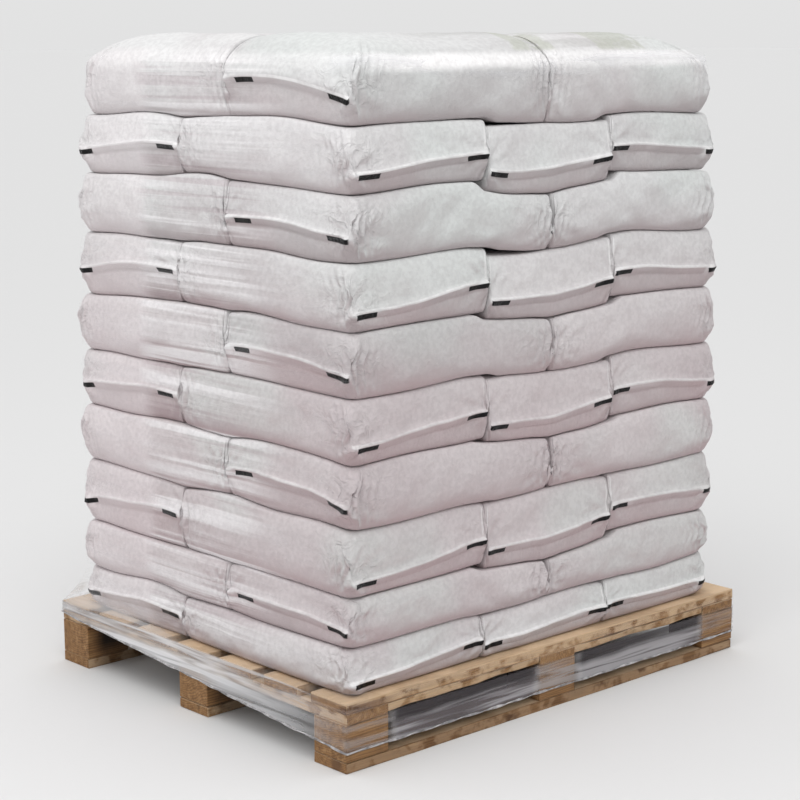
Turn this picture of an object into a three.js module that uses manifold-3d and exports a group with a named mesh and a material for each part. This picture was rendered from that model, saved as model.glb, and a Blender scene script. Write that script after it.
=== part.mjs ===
// A pallet of sacks: fifty filled plastic sacks in ten layers on a wooden block
// pallet, held together by clear stretch film. Millimetres, +Z up. The origin is on
// the floor under the middle of the pallet, and X runs along the pallet's long side.

import * as THREE from 'three';
import Module from 'manifold-3d';

const wasm = await Module();
wasm.setup();

// Gap kept between pieces that rest on each other.
const seat = 0.3;

// Wooden block pallet
const palletLength = 1200;
const palletWidth = 1000;
const palletHeight = 144;
const boardThickness = 22;
const bottomBoardWidth = 100;
const blockLength = 110;
const stringerWidth = 110;
const deckBoardWidth = 110;
const deckBoardCount = 7;

// The load. Each edge of its plan leans in or out a little with height, and is given
// at the deck, at half height and at the top. The lowest sacks are pressed flattest.
const layerHeights = [96, 106, 138, 128, 130, 130, 134, 132, 127, 168];
const loadLeft = { deck: -584, middle: -574, top: -562 };
const loadRight = { deck: 548, middle: 560, top: 520 };
const loadFront = { deck: -486, middle: -488, top: -480 };
const loadBack = { deck: 457, middle: 472, top: 444 };

// Sacks. A layer is a row of three sacks laid across it and a row of two laid along
// it, and the next layer has the rows swapped, so that no joint runs on upwards.
const crossRowShare = 0.588;
const sackGap = 2;
const sackCornerRadius = 30;
const cornerSteps = 2;

// A filled sack's outline at heights from its bottom to its top: how far its long
// sides and its folded ends stand back from the widest line. The lip of the folded
// end is that line at an end.
const sackRings = [
  { height: 0, side: 22, end: 24 },
  { height: 0.12, side: 8, end: 13 },
  { height: 0.38, side: 1.5, end: 9 },
  { height: 0.44, side: 0, end: 0 },
  { height: 0.88, side: 8, end: 9 },
  { height: 1, side: 22, end: 22 },
];

// The sacks of a layer are joined by a core that lies behind the gaps between them.
const coreInset = 60;
const coreCover = 9;

// The top layer is free to swell, so its outer edge is a wide round shoulder.
const shoulderClearance = 20;
const shoulderRings = [
  { height: 0.5, inset: 0 },
  { height: 0.68, inset: 12 },
  { height: 0.82, inset: 36 },
  { height: 0.93, inset: 85 },
  { height: 1, inset: 180 },
];

// Stretch film: several turns of thin film, which bridge the joints between layers
// and run out over the edge of the deck. The lower edge climbs from front to back.
const filmThickness = 1.5;
const filmPullIn = 5;
const filmEdgeFront = 24;
const filmEdgeBack = 116;
const filmTopRings = 3;
const widestHeight = 0.44;

// The value at a height of something given at the deck, half height and the top.
function alongHeight(values, t) {
  const deckPart = values.deck * (1 - t) * (1 - 2 * t);
  const middlePart = values.middle * 4 * t * (1 - t);
  const topPart = values.top * t * (2 * t - 1);
  return deckPart + middlePart + topPart;
}

// The layers from the deck up, each with its plan and its two levels.
function stackLayers() {
  const stackHeight = layerHeights.reduce((sum, height) => sum + height, 0);
  const layers = [];
  let bottom = palletHeight;
  layerHeights.forEach((height, index) => {
    const t = (bottom + height / 2 - palletHeight) / stackHeight;
    layers.push({
      number: index + 1,
      bottom,
      top: bottom + height,
      x0: alongHeight(loadLeft, t),
      x1: alongHeight(loadRight, t),
      y0: alongHeight(loadFront, t),
      y1: alongHeight(loadBack, t),
    });
    bottom += height;
  });
  return layers;
}

// A rounded rectangle's points, counterclockwise, with its edges moved in.
function roundedOutline(plan, insetX, insetY, radius, z) {
  const centres = [
    { x: plan.x1 - insetX - radius, y: plan.y1 - insetY - radius },
    { x: plan.x0 + insetX + radius, y: plan.y1 - insetY - radius },
    { x: plan.x0 + insetX + radius, y: plan.y0 + insetY + radius },
    { x: plan.x1 - insetX - radius, y: plan.y0 + insetY + radius },
  ];
  const points = [];
  centres.forEach((centre, corner) => {
    for (let step = 0; step <= cornerSteps; step++) {
      const angle = (corner + step / cornerSteps) * Math.PI / 2;
      const x = centre.x + radius * Math.cos(angle);
      const y = centre.y + radius * Math.sin(angle);
      points.push(new THREE.Vector3(x, y, z));
    }
  });
  return points;
}

// Side faces between each ring of points and the next one.
function sideFaces(rings, closed) {
  const count = rings[0].length;
  const last = closed ? rings.length : rings.length - 1;
  const faces = [];
  for (let ring = 0; ring < last; ring++) {
    const lower = ring * count;
    const upper = ((ring + 1) % rings.length) * count;
    for (let i = 0; i < count; i++) {
      const j = (i + 1) % count;
      faces.push(lower + i, lower + j, upper + j);
      faces.push(lower + i, upper + j, upper + i);
    }
  }
  return faces;
}

function meshGeometry(rings, faces) {
  const geometry = new THREE.BufferGeometry();
  geometry.setFromPoints(rings.flat());
  geometry.setIndex(faces);
  return geometry;
}

// A closed body through rings from bottom to top, with flat ends.
function loft(rings) {
  const count = rings[0].length;
  const topStart = (rings.length - 1) * count;
  const faces = sideFaces(rings, false);
  for (let i = 1; i < count - 1; i++) {
    faces.push(0, i + 1, i);
    faces.push(topStart, topStart + i, topStart + i + 1);
  }
  return meshGeometry(rings, faces);
}

// A thin wall that closes on itself, up its outer rings and down its inner ones.
function wall(outerRings, innerRings) {
  const rings = [...outerRings, ...innerRings.toReversed()];
  return meshGeometry(rings, sideFaces(rings, true));
}

function toSolid(geometry) {
  const vertProperties = new Float32Array(geometry.attributes.position.array);
  const triVerts = new Uint32Array(geometry.index.array);
  return new wasm.Manifold(new wasm.Mesh({ numProp: 3, vertProperties, triVerts }));
}

function toGeometry(solid) {
  const mesh = solid.getMesh();
  const geometry = new THREE.BufferGeometry();
  geometry.setAttribute('position', new THREE.BufferAttribute(mesh.vertProperties, 3));
  geometry.setIndex(new THREE.BufferAttribute(mesh.triVerts, 1));
  return geometry;
}

// One filled sack between two levels, with its ends towards X or towards Y.
function sack(plan, bottom, top, endsAlongX) {
  const rings = sackRings.map((ring) => {
    const insetX = sackGap / 2 + (endsAlongX ? ring.end : ring.side);
    const insetY = sackGap / 2 + (endsAlongX ? ring.side : ring.end);
    const z = THREE.MathUtils.lerp(bottom, top, ring.height);
    return roundedOutline(plan, insetX, insetY, sackCornerRadius, z);
  });
  return toSolid(loft(rings));
}

// A row of sacks side by side or end to end, from y0 to y1.
function sackRow(layer, y0, y1, count, endsAlongX) {
  const step = (layer.x1 - layer.x0) / count;
  const bottom = layer.bottom + seat / 2;
  const top = layer.top - seat / 2;
  const sacks = [];
  for (let i = 0; i < count; i++) {
    const plan = { x0: layer.x0 + i * step, x1: layer.x0 + (i + 1) * step, y0, y1 };
    sacks.push(sack(plan, bottom, top, endsAlongX));
  }
  return sacks;
}

// The core of a layer, behind the gaps.
function layerCore(layer) {
  const square = (z) => [
    new THREE.Vector3(layer.x1 - coreInset, layer.y1 - coreInset, z),
    new THREE.Vector3(layer.x0 + coreInset, layer.y1 - coreInset, z),
    new THREE.Vector3(layer.x0 + coreInset, layer.y0 + coreInset, z),
    new THREE.Vector3(layer.x1 - coreInset, layer.y0 + coreInset, z),
  ];
  return toSolid(loft([square(layer.bottom + coreCover), square(layer.top - coreCover)]));
}

// The round shoulder that the top layer is cut to. Below it the cutter stands clear.
function shoulder(layer) {
  const clear = -shoulderClearance;
  const start = shoulderRings[0].height;
  const rings = [0, start].map((height) => {
    const z = THREE.MathUtils.lerp(layer.bottom, layer.top, height);
    return roundedOutline(layer, clear, clear, sackCornerRadius, z);
  });
  for (const ring of shoulderRings) {
    const z = THREE.MathUtils.lerp(layer.bottom, layer.top, ring.height);
    const radius = sackCornerRadius + ring.inset;
    rings.push(roundedOutline(layer, ring.inset, ring.inset, radius, z));
  }
  return toSolid(loft(rings));
}

// One layer of five sacks. Odd layers have the three cross sacks at the front.
function sackLayer(layer, isTop) {
  const width = layer.y1 - layer.y0;
  const crossInFront = layer.number % 2 === 1;
  const joint = layer.y0 + width * (crossInFront ? crossRowShare : 1 - crossRowShare);
  const front = sackRow(layer, layer.y0, joint, crossInFront ? 3 : 2, !crossInFront);
  const back = sackRow(layer, joint, layer.y1, crossInFront ? 2 : 3, crossInFront);
  let body = layerCore(layer);
  for (const piece of [...front, ...back]) {
    body = body.add(piece);
  }
  if (isTop) {
    body = body.intersect(shoulder(layer));
  }
  return toGeometry(body);
}

// The film's outline at one height of one layer.
function filmRing(layer, height, inset, radius, outward) {
  const z = THREE.MathUtils.lerp(layer.bottom, layer.top, height);
  return roundedOutline(layer, inset - outward, inset - outward, radius + outward, z);
}

// The film's outline where it bridges the joint under a layer.
function bridgeRing(below, layer, outward) {
  const plan = {
    x0: Math.min(below.x0, layer.x0),
    x1: Math.max(below.x1, layer.x1),
    y0: Math.min(below.y0, layer.y0),
    y1: Math.max(below.y1, layer.y1),
  };
  const inset = filmPullIn - outward;
  return roundedOutline(plan, inset, inset, sackCornerRadius + outward, layer.bottom);
}

// The film's rings round the pallet, from its climbing lower edge to the deck's edge.
function palletRings(outward) {
  const plan = {
    x0: -palletLength / 2,
    x1: palletLength / 2,
    y0: -palletWidth / 2,
    y1: palletWidth / 2,
  };
  const atLevel = (z) => roundedOutline(plan, -outward, -outward, outward, z);
  const lowerEdge = atLevel(0);
  for (const point of lowerEdge) {
    const share = THREE.MathUtils.clamp(point.y / palletWidth + 0.5, 0, 1);
    point.z = THREE.MathUtils.lerp(filmEdgeFront, filmEdgeBack, share);
  }
  return [lowerEdge, atLevel(palletHeight + outward)];
}

function filmRings(layers, outward) {
  const rings = palletRings(outward);
  layers.forEach((layer, index) => {
    if (index > 0) {
      rings.push(bridgeRing(layers[index - 1], layer, outward));
    }
    rings.push(filmRing(layer, widestHeight, 0, sackCornerRadius, outward));
  });
  const topLayer = layers[layers.length - 1];
  for (const ring of shoulderRings.slice(0, filmTopRings)) {
    const radius = sackCornerRadius + ring.inset;
    rings.push(filmRing(topLayer, ring.height, ring.inset, radius, outward));
  }
  return rings;
}

function stretchFilm(layers) {
  return wall(filmRings(layers, seat + filmThickness), filmRings(layers, seat));
}

function addPiece(group, name, geometry, finish, x = 0, y = 0, z = 0) {
  const mesh = new THREE.Mesh(geometry, new THREE.MeshStandardMaterial(finish));
  mesh.name = name;
  mesh.position.set(x, y, z);
  group.add(mesh);
}

const woodFinish = { color: 0xb88450, roughness: 0.8 };
const sackFinish = { color: 0xe6e2e5, roughness: 0.5 };
const filmFinish = { color: 0xe8e8ee, roughness: 0.15, transparent: true, opacity: 0.25 };

// The pallet: bottom boards along X, nine blocks, stringer boards across them along
// Y, and the deck boards along X on top.
function addPallet(group) {
  const blockBottom = boardThickness + seat;
  const blockTop = palletHeight - 2 * boardThickness - 2 * seat;
  const blockHeight = blockTop - blockBottom;
  const rowY = (palletWidth - bottomBoardWidth) / 2;
  const columnX = (palletLength - blockLength) / 2;
  const rows = { front: -rowY, middle: 0, back: rowY };
  const columns = { left: -columnX, middle: 0, right: columnX };
  for (const [row, y] of Object.entries(rows)) {
    const board = new THREE.BoxGeometry(palletLength, bottomBoardWidth, boardThickness);
    addPiece(group, `bottom_board_${row}`, board, woodFinish, 0, y, boardThickness / 2);
    for (const [column, x] of Object.entries(columns)) {
      const block = new THREE.BoxGeometry(blockLength, bottomBoardWidth, blockHeight);
      const z = blockBottom + blockHeight / 2;
      addPiece(group, `block_${row}_${column}`, block, woodFinish, x, y, z);
    }
  }
  for (const [column, x] of Object.entries(columns)) {
    const stringer = new THREE.BoxGeometry(stringerWidth, palletWidth, boardThickness);
    const z = blockTop + seat + boardThickness / 2;
    addPiece(group, `stringer_board_${column}`, stringer, woodFinish, x, 0, z);
  }
  const pitch = (palletWidth - deckBoardWidth) / (deckBoardCount - 1);
  for (let i = 0; i < deckBoardCount; i++) {
    const board = new THREE.BoxGeometry(palletLength, deckBoardWidth, boardThickness);
    const y = (deckBoardWidth - palletWidth) / 2 + i * pitch;
    const z = palletHeight - boardThickness / 2;
    addPiece(group, `deck_board_${i + 1}`, board, woodFinish, 0, y, z);
  }
}

const palletOfSacks = new THREE.Group();
const layers = stackLayers();
addPallet(palletOfSacks);
for (const layer of layers) {
  const isTop = layer.number === layers.length;
  const name = `sack_layer_${String(layer.number).padStart(2, '0')}`;
  addPiece(palletOfSacks, name, sackLayer(layer, isTop), sackFinish);
}
addPiece(palletOfSacks, 'stretch_film', stretchFilm(layers), filmFinish);

export default palletOfSacks;
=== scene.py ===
# %% [markdown]
# # A wrapped pallet of sacks
# Fifty filled plastic sacks stand on a wooden block pallet in ten interlocked
# layers, and clear stretch film holds them together. The construction is already
# made: each layer, board and block is there at its real size. This lesson dresses
# it. Every sack becomes a piece of its own with folded ends and wrinkles, the
# boards get worn edges and grain, and the film gets its folds and streaks.

import math

import bmesh
import bpy
import numpy as np
from mathutils import Matrix, Vector
from mathutils.bvhtree import BVHTree


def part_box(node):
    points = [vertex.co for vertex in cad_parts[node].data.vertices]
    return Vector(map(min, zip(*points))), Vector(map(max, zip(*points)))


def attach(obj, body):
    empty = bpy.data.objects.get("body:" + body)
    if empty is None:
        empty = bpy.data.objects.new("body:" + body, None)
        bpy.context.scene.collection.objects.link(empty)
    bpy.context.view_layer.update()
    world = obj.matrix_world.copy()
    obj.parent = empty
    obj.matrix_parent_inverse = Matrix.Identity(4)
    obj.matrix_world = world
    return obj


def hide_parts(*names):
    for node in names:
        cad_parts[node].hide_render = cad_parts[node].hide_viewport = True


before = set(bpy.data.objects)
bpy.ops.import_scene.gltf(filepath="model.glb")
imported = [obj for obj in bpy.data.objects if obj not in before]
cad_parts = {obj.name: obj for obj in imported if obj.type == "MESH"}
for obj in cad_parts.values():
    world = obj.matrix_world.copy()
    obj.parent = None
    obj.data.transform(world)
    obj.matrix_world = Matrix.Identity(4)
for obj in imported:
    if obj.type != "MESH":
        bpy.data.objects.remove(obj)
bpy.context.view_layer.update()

# %% [markdown]
# ## Camera
# The picture was taken from just above the height of the load, off the corner of
# the pallet. The place and the focal length come from the pallet's real corners
# and where they lie in an image 800 pixels wide, so the picture needs no shift.

# %% Camera
IMAGE_WIDTH = 800
FOCAL_PIXELS = 1971.5
SENSOR_MM = 36
CAMERA_PLACE = Vector((-2.9927, -3.2711, 1.4203))
CAMERA_YAW = math.radians(42.46)
CAMERA_PITCH = math.radians(-10.44)
CAMERA_ROLL = math.radians(-0.15)


def make_camera():
    """Sets the camera that the picture is taken with."""
    data = bpy.data.cameras.new("camera")
    data.sensor_width = SENSOR_MM
    data.lens = FOCAL_PIXELS / IMAGE_WIDTH * SENSOR_MM
    camera = bpy.data.objects.new("camera", data)
    turn = Matrix.Rotation(-CAMERA_YAW, 4, "Z")
    tilt = Matrix.Rotation(math.pi / 2 + CAMERA_PITCH, 4, "X")
    roll = Matrix.Rotation(CAMERA_ROLL, 4, "Z")
    camera.matrix_world = Matrix.Translation(CAMERA_PLACE) @ turn @ tilt @ roll
    bpy.context.scene.collection.objects.link(camera)
    bpy.context.scene.camera = camera
    return camera


camera = make_camera()
print("lens", round(camera.data.lens, 2), "mm")

# %% [markdown]
# ## Floor and light
# The load stands on a plain pale floor in soft light from all round, as under a
# bright overcast sky. One large lamp above and in front of the near corner makes
# the tops of the bulges a little brighter than their undersides.

# %% Floor and light
FLOOR_SIZE = 400.0
FLOOR_COLOUR = (0.76, 0.76, 0.76, 1.0)
FLOOR_ROUGHNESS = 0.9
SKY_COLOUR = (1.0, 1.0, 1.0, 1.0)
SKY_AT_HORIZON = 0.762
SKY_OVERHEAD = 1.10
LAMP_PLACE = Vector((-1.8, -1.2, 3.4))
LAMP_AIM = Vector((0.0, 0.0, 1.2))
LAMP_SIZE = 2.0
LAMP_POWER = 34


def link(name, mesh):
    """A mesh becomes an object of the scene, at the origin."""
    piece = bpy.data.objects.new(name, mesh)
    bpy.context.scene.collection.objects.link(piece)
    return piece


def mesh_from(bm, name):
    """A finished bmesh becomes a smooth mesh."""
    bmesh.ops.recalc_face_normals(bm, faces=bm.faces)
    mesh = bpy.data.meshes.new(name)
    bm.to_mesh(mesh)
    bm.free()
    mesh.shade_smooth()
    return mesh


def make_floor():
    """A wide plain floor."""
    bm = bmesh.new()
    bmesh.ops.create_grid(bm, x_segments=1, y_segments=1, size=FLOOR_SIZE / 2)
    floor = link("floor", mesh_from(bm, "floor"))
    material = bpy.data.materials.new("floor_paint")
    material.use_nodes = True
    shader = material.node_tree.nodes["Principled BSDF"]
    shader.inputs["Base Color"].default_value = FLOOR_COLOUR
    shader.inputs["Roughness"].default_value = FLOOR_ROUGHNESS
    floor.data.materials.append(material)
    return floor


def make_lights():
    """A white sky, brighter overhead, and one large soft lamp."""
    world = bpy.data.worlds.new("sky")
    world.use_nodes = True
    nodes, links = world.node_tree.nodes, world.node_tree.links
    background = nodes["Background"]
    background.inputs["Color"].default_value = SKY_COLOUR
    way = nodes.new("ShaderNodeTexCoord")
    parts = nodes.new("ShaderNodeSeparateXYZ")
    climb = nodes.new("ShaderNodeMapRange")
    climb.inputs["To Min"].default_value = SKY_AT_HORIZON
    climb.inputs["To Max"].default_value = SKY_OVERHEAD
    links.new(way.outputs["Generated"], parts.inputs[0])
    links.new(parts.outputs["Z"], climb.inputs["Value"])
    links.new(climb.outputs[0], background.inputs["Strength"])
    bpy.context.scene.world = world
    data = bpy.data.lights.new("lamp", "AREA")
    data.size = LAMP_SIZE
    data.energy = LAMP_POWER
    lamp = bpy.data.objects.new("lamp", data)
    lamp.location = LAMP_PLACE
    lamp.rotation_euler = (LAMP_AIM - LAMP_PLACE).to_track_quat("-Z", "Y").to_euler()
    bpy.context.scene.collection.objects.link(lamp)


floor = make_floor()
make_lights()
bpy.context.scene.view_settings.view_transform = "Standard"
print("floor and lights are set")

# %% [markdown]
# ## Writing materials as arithmetic
# A material is a small program. Wiring its nodes by hand hides the idea, so a
# number that varies over a surface is wrapped in a class with Python's operators:
# `1 - mask * 0.5` then adds the two Math nodes it needs. A second class stands for
# the material: every node comes from its method `node`, and the other methods only
# name what is used often.

# %% Numbers that vary over a surface
class Number:
    """A number that varies over a surface."""

    def __init__(self, finish, socket):
        self.finish = finish
        self.socket = socket

    def maths(self, operation, *numbers):
        """One Math node on one or two numbers."""
        return self.finish.node("ShaderNodeMath", {"operation": operation}, dict(enumerate(numbers)))

    def __add__(self, other):
        return self.maths("ADD", self, other)

    def __radd__(self, other):
        return self.maths("ADD", other, self)

    def __sub__(self, other):
        return self.maths("SUBTRACT", self, other)

    def __rsub__(self, other):
        return self.maths("SUBTRACT", other, self)

    def __mul__(self, other):
        return self.maths("MULTIPLY", self, other)

    def __rmul__(self, other):
        return self.maths("MULTIPLY", other, self)

    def __pow__(self, other):
        return self.maths("POWER", self, other)

    def __abs__(self):
        return self.maths("ABSOLUTE", self)

    def fraction(self):
        """What is left over a whole number."""
        return self.maths("FRACT", self)

    def highest(self, other):
        return self.maths("MAXIMUM", self, other)

    def lowest(self, other):
        return self.maths("MINIMUM", self, other)

    def ramp(self, low, high, start=0.0, end=1.0):
        """Goes smoothly from start to end while this number goes from low to high."""
        settings = {"interpolation_type": "SMOOTHSTEP"}
        values = {0: self, 1: low, 2: high, 3: start, 4: end}
        return self.finish.node("ShaderNodeMapRange", settings, values)

    def between(self, low, high, softness):
        """1 between low and high and 0 beyond them, with soft borders inside them."""
        return self.ramp(low, low + softness) * self.ramp(high, high - softness)


print("numbers can be worked with")

# %% Finishes
class Finish:
    """A material that is being made."""

    def __init__(self, name):
        self.material = bpy.data.materials.new(name)
        self.material.use_nodes = True
        self.tree = self.material.node_tree
        self.shader = self.tree.nodes["Principled BSDF"]

    def node(self, kind, settings=None, values=None, output=0):
        """Adds one node, with its settings first and then its inputs."""
        made = self.tree.nodes.new(kind)
        for name, setting in (settings or {}).items():
            setattr(made, name, setting)
        self.join(made, values or {})
        return Number(self, made.outputs[output])

    def join(self, made, values):
        """Gives a node's inputs their links and values."""
        for key, value in values.items():
            if isinstance(value, Number):
                self.tree.links.new(value.socket, made.inputs[key])
            else:
                made.inputs[key].default_value = value

    def surface(self, **values):
        """Sets the shader's inputs, with _ in a name for a space."""
        named = {key.replace("_", " "): value for key, value in values.items()}
        self.join(self.shader, named)

    def stretch(self, vector, scales):
        """A vector stretched along its axes."""
        return self.node("ShaderNodeMapping", {}, {"Vector": vector, "Scale": scales})

    def place(self, scales=(1, 1, 1)):
        """The place on the piece, in metres, stretched."""
        return self.stretch(self.node("ShaderNodeTexCoord", output="Object"), scales)

    def axes(self, vector=None):
        """The three numbers of a vector, or of the place on the piece."""
        split = self.node("ShaderNodeSeparateXYZ", {}, {0: vector or self.place()})
        return [Number(self, output) for output in split.socket.node.outputs]

    def facing(self):
        """Which way the surface faces, as three numbers."""
        return self.axes(self.node("ShaderNodeNewGeometry", output="Normal"))

    def attribute(self, name, output="Fac"):
        """A number or a vector stored on the piece's own points."""
        return self.node("ShaderNodeAttribute", {"attribute_name": name}, output=output)

    def noise(self, place, scale, detail=2.0, roughness=0.5, distortion=0.0):
        """Soft random patches, so many to a metre."""
        values = {"Vector": place, "Scale": scale, "Detail": detail}
        values.update({"Roughness": roughness, "Distortion": distortion})
        return self.node("ShaderNodeTexNoise", {}, values)

    def streaks(self, scales, detail, roughness=0.5, distortion=0.0):
        """Noise drawn out along the axes that have a small scale."""
        return self.noise(self.place(scales), 1.0, detail, roughness, distortion)

    def uneven(self, number, amount, scale, detail=3.0):
        """A number that wanders by up to half an amount either way."""
        return number + (self.noise(self.place(), scale, detail) - 0.5) * amount

    def mix(self, share, first, second, blend="MIX"):
        """A colour between two colours."""
        settings = {"data_type": "RGBA", "blend_type": blend}
        values = {0: share, 6: first, 7: second}
        return self.node("ShaderNodeMix", settings, values, output=2)

    def coats(self, colour, *coats):
        """A colour under further coats, each a share, a colour and perhaps a blend."""
        for share, coat, *blend in coats:
            colour = self.mix(share, colour, coat, *blend)
        return colour

    def relief(self, *bumps):
        """A normal from heights laid one on another, each with its depth and strength."""
        values = {}
        for height, depth, strength in bumps:
            values.update({"Height": height, "Distance": depth, "Strength": strength})
            values["Normal"] = self.node("ShaderNodeBump", {}, values)
        return values["Normal"]


print("finishes can be made")

# %% [markdown]
# ## Sack plastic
# The sacks are blown plastic film with a finely embossed face: white and slightly
# pearly. Where it turns under, it is painted a little darker and pinker, as painted
# shade. Granules press on it from inside, which shows as a faint unevenness. The
# seal strip at each folded end carries two plain black bars that the packing
# machine reads. Pictures could hold all this, but coats of noise in one material
# fit every sack and never repeat. The colours come first, and then what spreads
# each of them.

# %% Colours of the sack plastic
WHITE_PLASTIC = (0.71, 0.71, 0.71, 1.0)
GREY_PLASTIC = (0.62, 0.600, 0.605, 1.0)
MINT_PLASTIC = (0.65, 0.695, 0.675, 1.0)
PINK_SHADE = (0.47, 0.365, 0.375, 1.0)
SHADE_PLASTIC = (0.42, 0.380, 0.385, 1.0)
SEAL_WHITE_HIGHLIGHT = (0.86, 0.85, 0.85, 1.0)
CROWN_HIGHLIGHT = (0.90, 0.89, 0.89, 1.0)
LOW_PAINTED_SHADE = (0.90, 0.83, 0.84, 1.0)
TOP_STREAK_GREY = (0.82, 0.82, 0.81, 1.0)
MOTTLE_DARK = (0.935, 0.930, 0.932, 1.0)
MOTTLE_LIGHT = (1.03, 1.03, 1.03, 1.0)
SAGE_PRINT = (0.44, 0.46, 0.38, 1.0)
PRINT_BLACK = (0.004, 0.0035, 0.004, 1.0)
BLACK = (0.0, 0.0, 0.0, 1.0)
MILKY_HIGHLIGHT = (0.88, 0.86, 0.87, 1.0)
HAZY_PINK = (0.82, 0.755, 0.77, 1.0)
CREASE_SHADE = (0.80, 0.73, 0.75, 1.0)

print("the plastic is", WHITE_PLASTIC[0], "white, and its print", PRINT_BLACK[0])

# %% [markdown]
# The stretch film lies tight on the left side of the load and can't be told from
# the plastic under it. So its hazy overlap, the painted highlights on its long level
# creases, the painted shade between them and a painted light at the upper end of
# the left side are coats of the plastic's finish, and the film itself can stay
# clear there. A pair of numbers such as `LEFT_SIDE` says where a coat begins and
# where it is full, in metres.

# %% Film on the plastic
LEFT_SIDE = (-0.53, -0.56)
CREASE_SCALES = (0.9, 0.9, 52.0)
FINE_SCALES = (2.4, 2.4, 34.0)
MILKY_HIGHLIGHT_SHARE = 0.70
CREASE_SHADE_SHARE = 0.6
HAZE_SHARE = 0.40
BAND_FRONT = (-0.34, -0.08)
BAND_BACK = (0.212, 0.155)
BAND_WANDER = (0.10, 6.0)
HAZE_FRONT = (0.145, 0.200)
HAZE_WANDER = (0.06, 6.0)
LIT_SHARE = 0.30
LIT_END = (-0.53, -0.57)
LIT_HEIGHT = (0.95, 1.30)


def film_creases(finish):
    """Long level creases, a hand's breadth to an arm long, where the film is wound tight."""
    return finish.streaks(CREASE_SCALES, 2.0, 0.5, 0.4)


def film_band(finish):
    """Where the film on the left side is creased: a band up its middle."""
    x, y, _ = finish.axes()
    y = finish.uneven(y, *BAND_WANDER)
    return x.ramp(*LEFT_SIDE) * y.ramp(*BAND_FRONT) * y.ramp(*BAND_BACK)


def film_haze(finish):
    """Where the turns of film overlap on the left side, and so are hazy."""
    x, y, _ = finish.axes()
    return x.ramp(*LEFT_SIDE) * finish.uneven(y, *HAZE_WANDER).ramp(*HAZE_FRONT)


def film_coats(finish, colour):
    """The plastic's colour as it shows through the film of the left side, with painted highlights
    and painted shade on its creases and painted light at its upper end.
    """
    x, _, z = finish.axes()
    creased = film_creases(finish)
    band = film_band(finish)
    # Painted light: the upper end of the left side is lighter.
    lit_end = x.ramp(*LIT_END) * z.ramp(*LIT_HEIGHT)
    fine = finish.streaks(FINE_SCALES, 3.0).ramp(0.30, 0.60, 0.30, 1.0)
    # Painted highlight on the ridges of the creases, where the film is also milky, and painted shade
    # between them.
    milky = creased.ramp(0.49, 0.61) * fine * band
    return finish.coats(colour,
                        (film_haze(finish) * HAZE_SHARE, HAZY_PINK),
                        (lit_end * LIT_SHARE, MILKY_HIGHLIGHT),
                        (milky * MILKY_HIGHLIGHT_SHARE, MILKY_HIGHLIGHT),
                        (creased.ramp(0.43, 0.35) * band * CREASE_SHADE_SHARE, CREASE_SHADE, "MULTIPLY"))


print("the band of creases reaches from", BAND_FRONT[0], "to", BAND_BACK[0], "m")

# %% [markdown]
# The upper sacks carry two faint patches of grey-green print, and darker grey
# streaks on top. Round their shoulder, where the plastic is tight, a wavy pale band
# is painted on as a highlight; it shows best at the two ends of the load.
# Everywhere the white is cloudy, and low down it is painted darker and pinker, as
# painted shade and a painted reflection of the floor and the pallet.

# %% Plain plastic and its print
SAGE_PLACES = ((-0.11, 0.03), (0.15, 0.30))
SAGE_DEPTH = (-0.47, -0.16)
SAGE_SOFTNESS = 0.01
SAGE_HEIGHT = (1.388, 1.398)
SAGE_SHARE = 0.55
CROWN_BELOW = (1.352, 1.370)
CROWN_ABOVE = (1.398, 1.384)
CROWN_WANDER = (0.035, 4.0)
CROWN_SCALES = (2.4, 2.4, 12.0)
CROWN_ENDS = (-0.58, -0.44, 0.12, 1.0)
TOP_STREAK_HEIGHT = (1.386, 1.400)
TOP_STREAK_PLACE = (-0.50, -0.20)
TOP_STREAK_SCALES = (2.0, 5.0, 40.0)
MINT_SHARE = 0.45
LOW_HEIGHT = (1.10, 0.68)
LOWEST_HEIGHT = (0.16, 0.30, 0.20, 1.0)


def sage_print(finish):
    """Two faint patches of plain grey-green print on the upper sacks."""
    x, y, z = finish.axes()
    rough = finish.noise(finish.place(), 34.0, 3.0, 0.6)
    x = x + (rough - 0.5) * 0.02
    patches = sum(x.between(low, high, SAGE_SOFTNESS) for low, high in SAGE_PLACES)
    depth = y.between(*SAGE_DEPTH, SAGE_SOFTNESS)
    return patches * depth * z.ramp(*SAGE_HEIGHT) * rough.ramp(0.30, 0.50)


def painted_crown_highlight(finish):
    """A painted highlight: a wavy pale band round the shoulder of the upper sacks, where the plastic
    is tight.
    """
    x, _, z = finish.axes()
    wavy = finish.uneven(z, *CROWN_WANDER)
    broken = finish.streaks(CROWN_SCALES, 3.0).ramp(0.36, 0.58)
    amount = (0.55 + 0.45 * broken) * x.ramp(*CROWN_ENDS)
    return wavy.ramp(*CROWN_BELOW) * wavy.ramp(*CROWN_ABOVE) * amount


def plain_plastic(finish, low, cloudy):
    """White in cloudy and minty patches, painted darker and pinker low down as shade and reflection,
    with darker grey streaks and print on top.
    """
    x, _, z = finish.axes()
    minty = finish.noise(finish.place(), 1.9, 2.0).ramp(0.47, 0.60)
    # Darker grey streaks on the top of the upper sacks, towards the right.
    streaky = finish.streaks(TOP_STREAK_SCALES, 3.0, 0.6).ramp(0.42, 0.60)
    grey_streaks = z.ramp(*TOP_STREAK_HEIGHT) * streaky * x.ramp(*TOP_STREAK_PLACE)
    return finish.coats(WHITE_PLASTIC,
                        (cloudy, GREY_PLASTIC),
                        (low, LOW_PAINTED_SHADE, "MULTIPLY"),
                        (minty * MINT_SHARE, MINT_PLASTIC),
                        (1 - finish.attribute("tone"), BLACK),
                        (grey_streaks, TOP_STREAK_GREY, "MULTIPLY"),
                        (sage_print(finish) * SAGE_SHARE, SAGE_PRINT))


print("patches of print", len(SAGE_PLACES))

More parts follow.
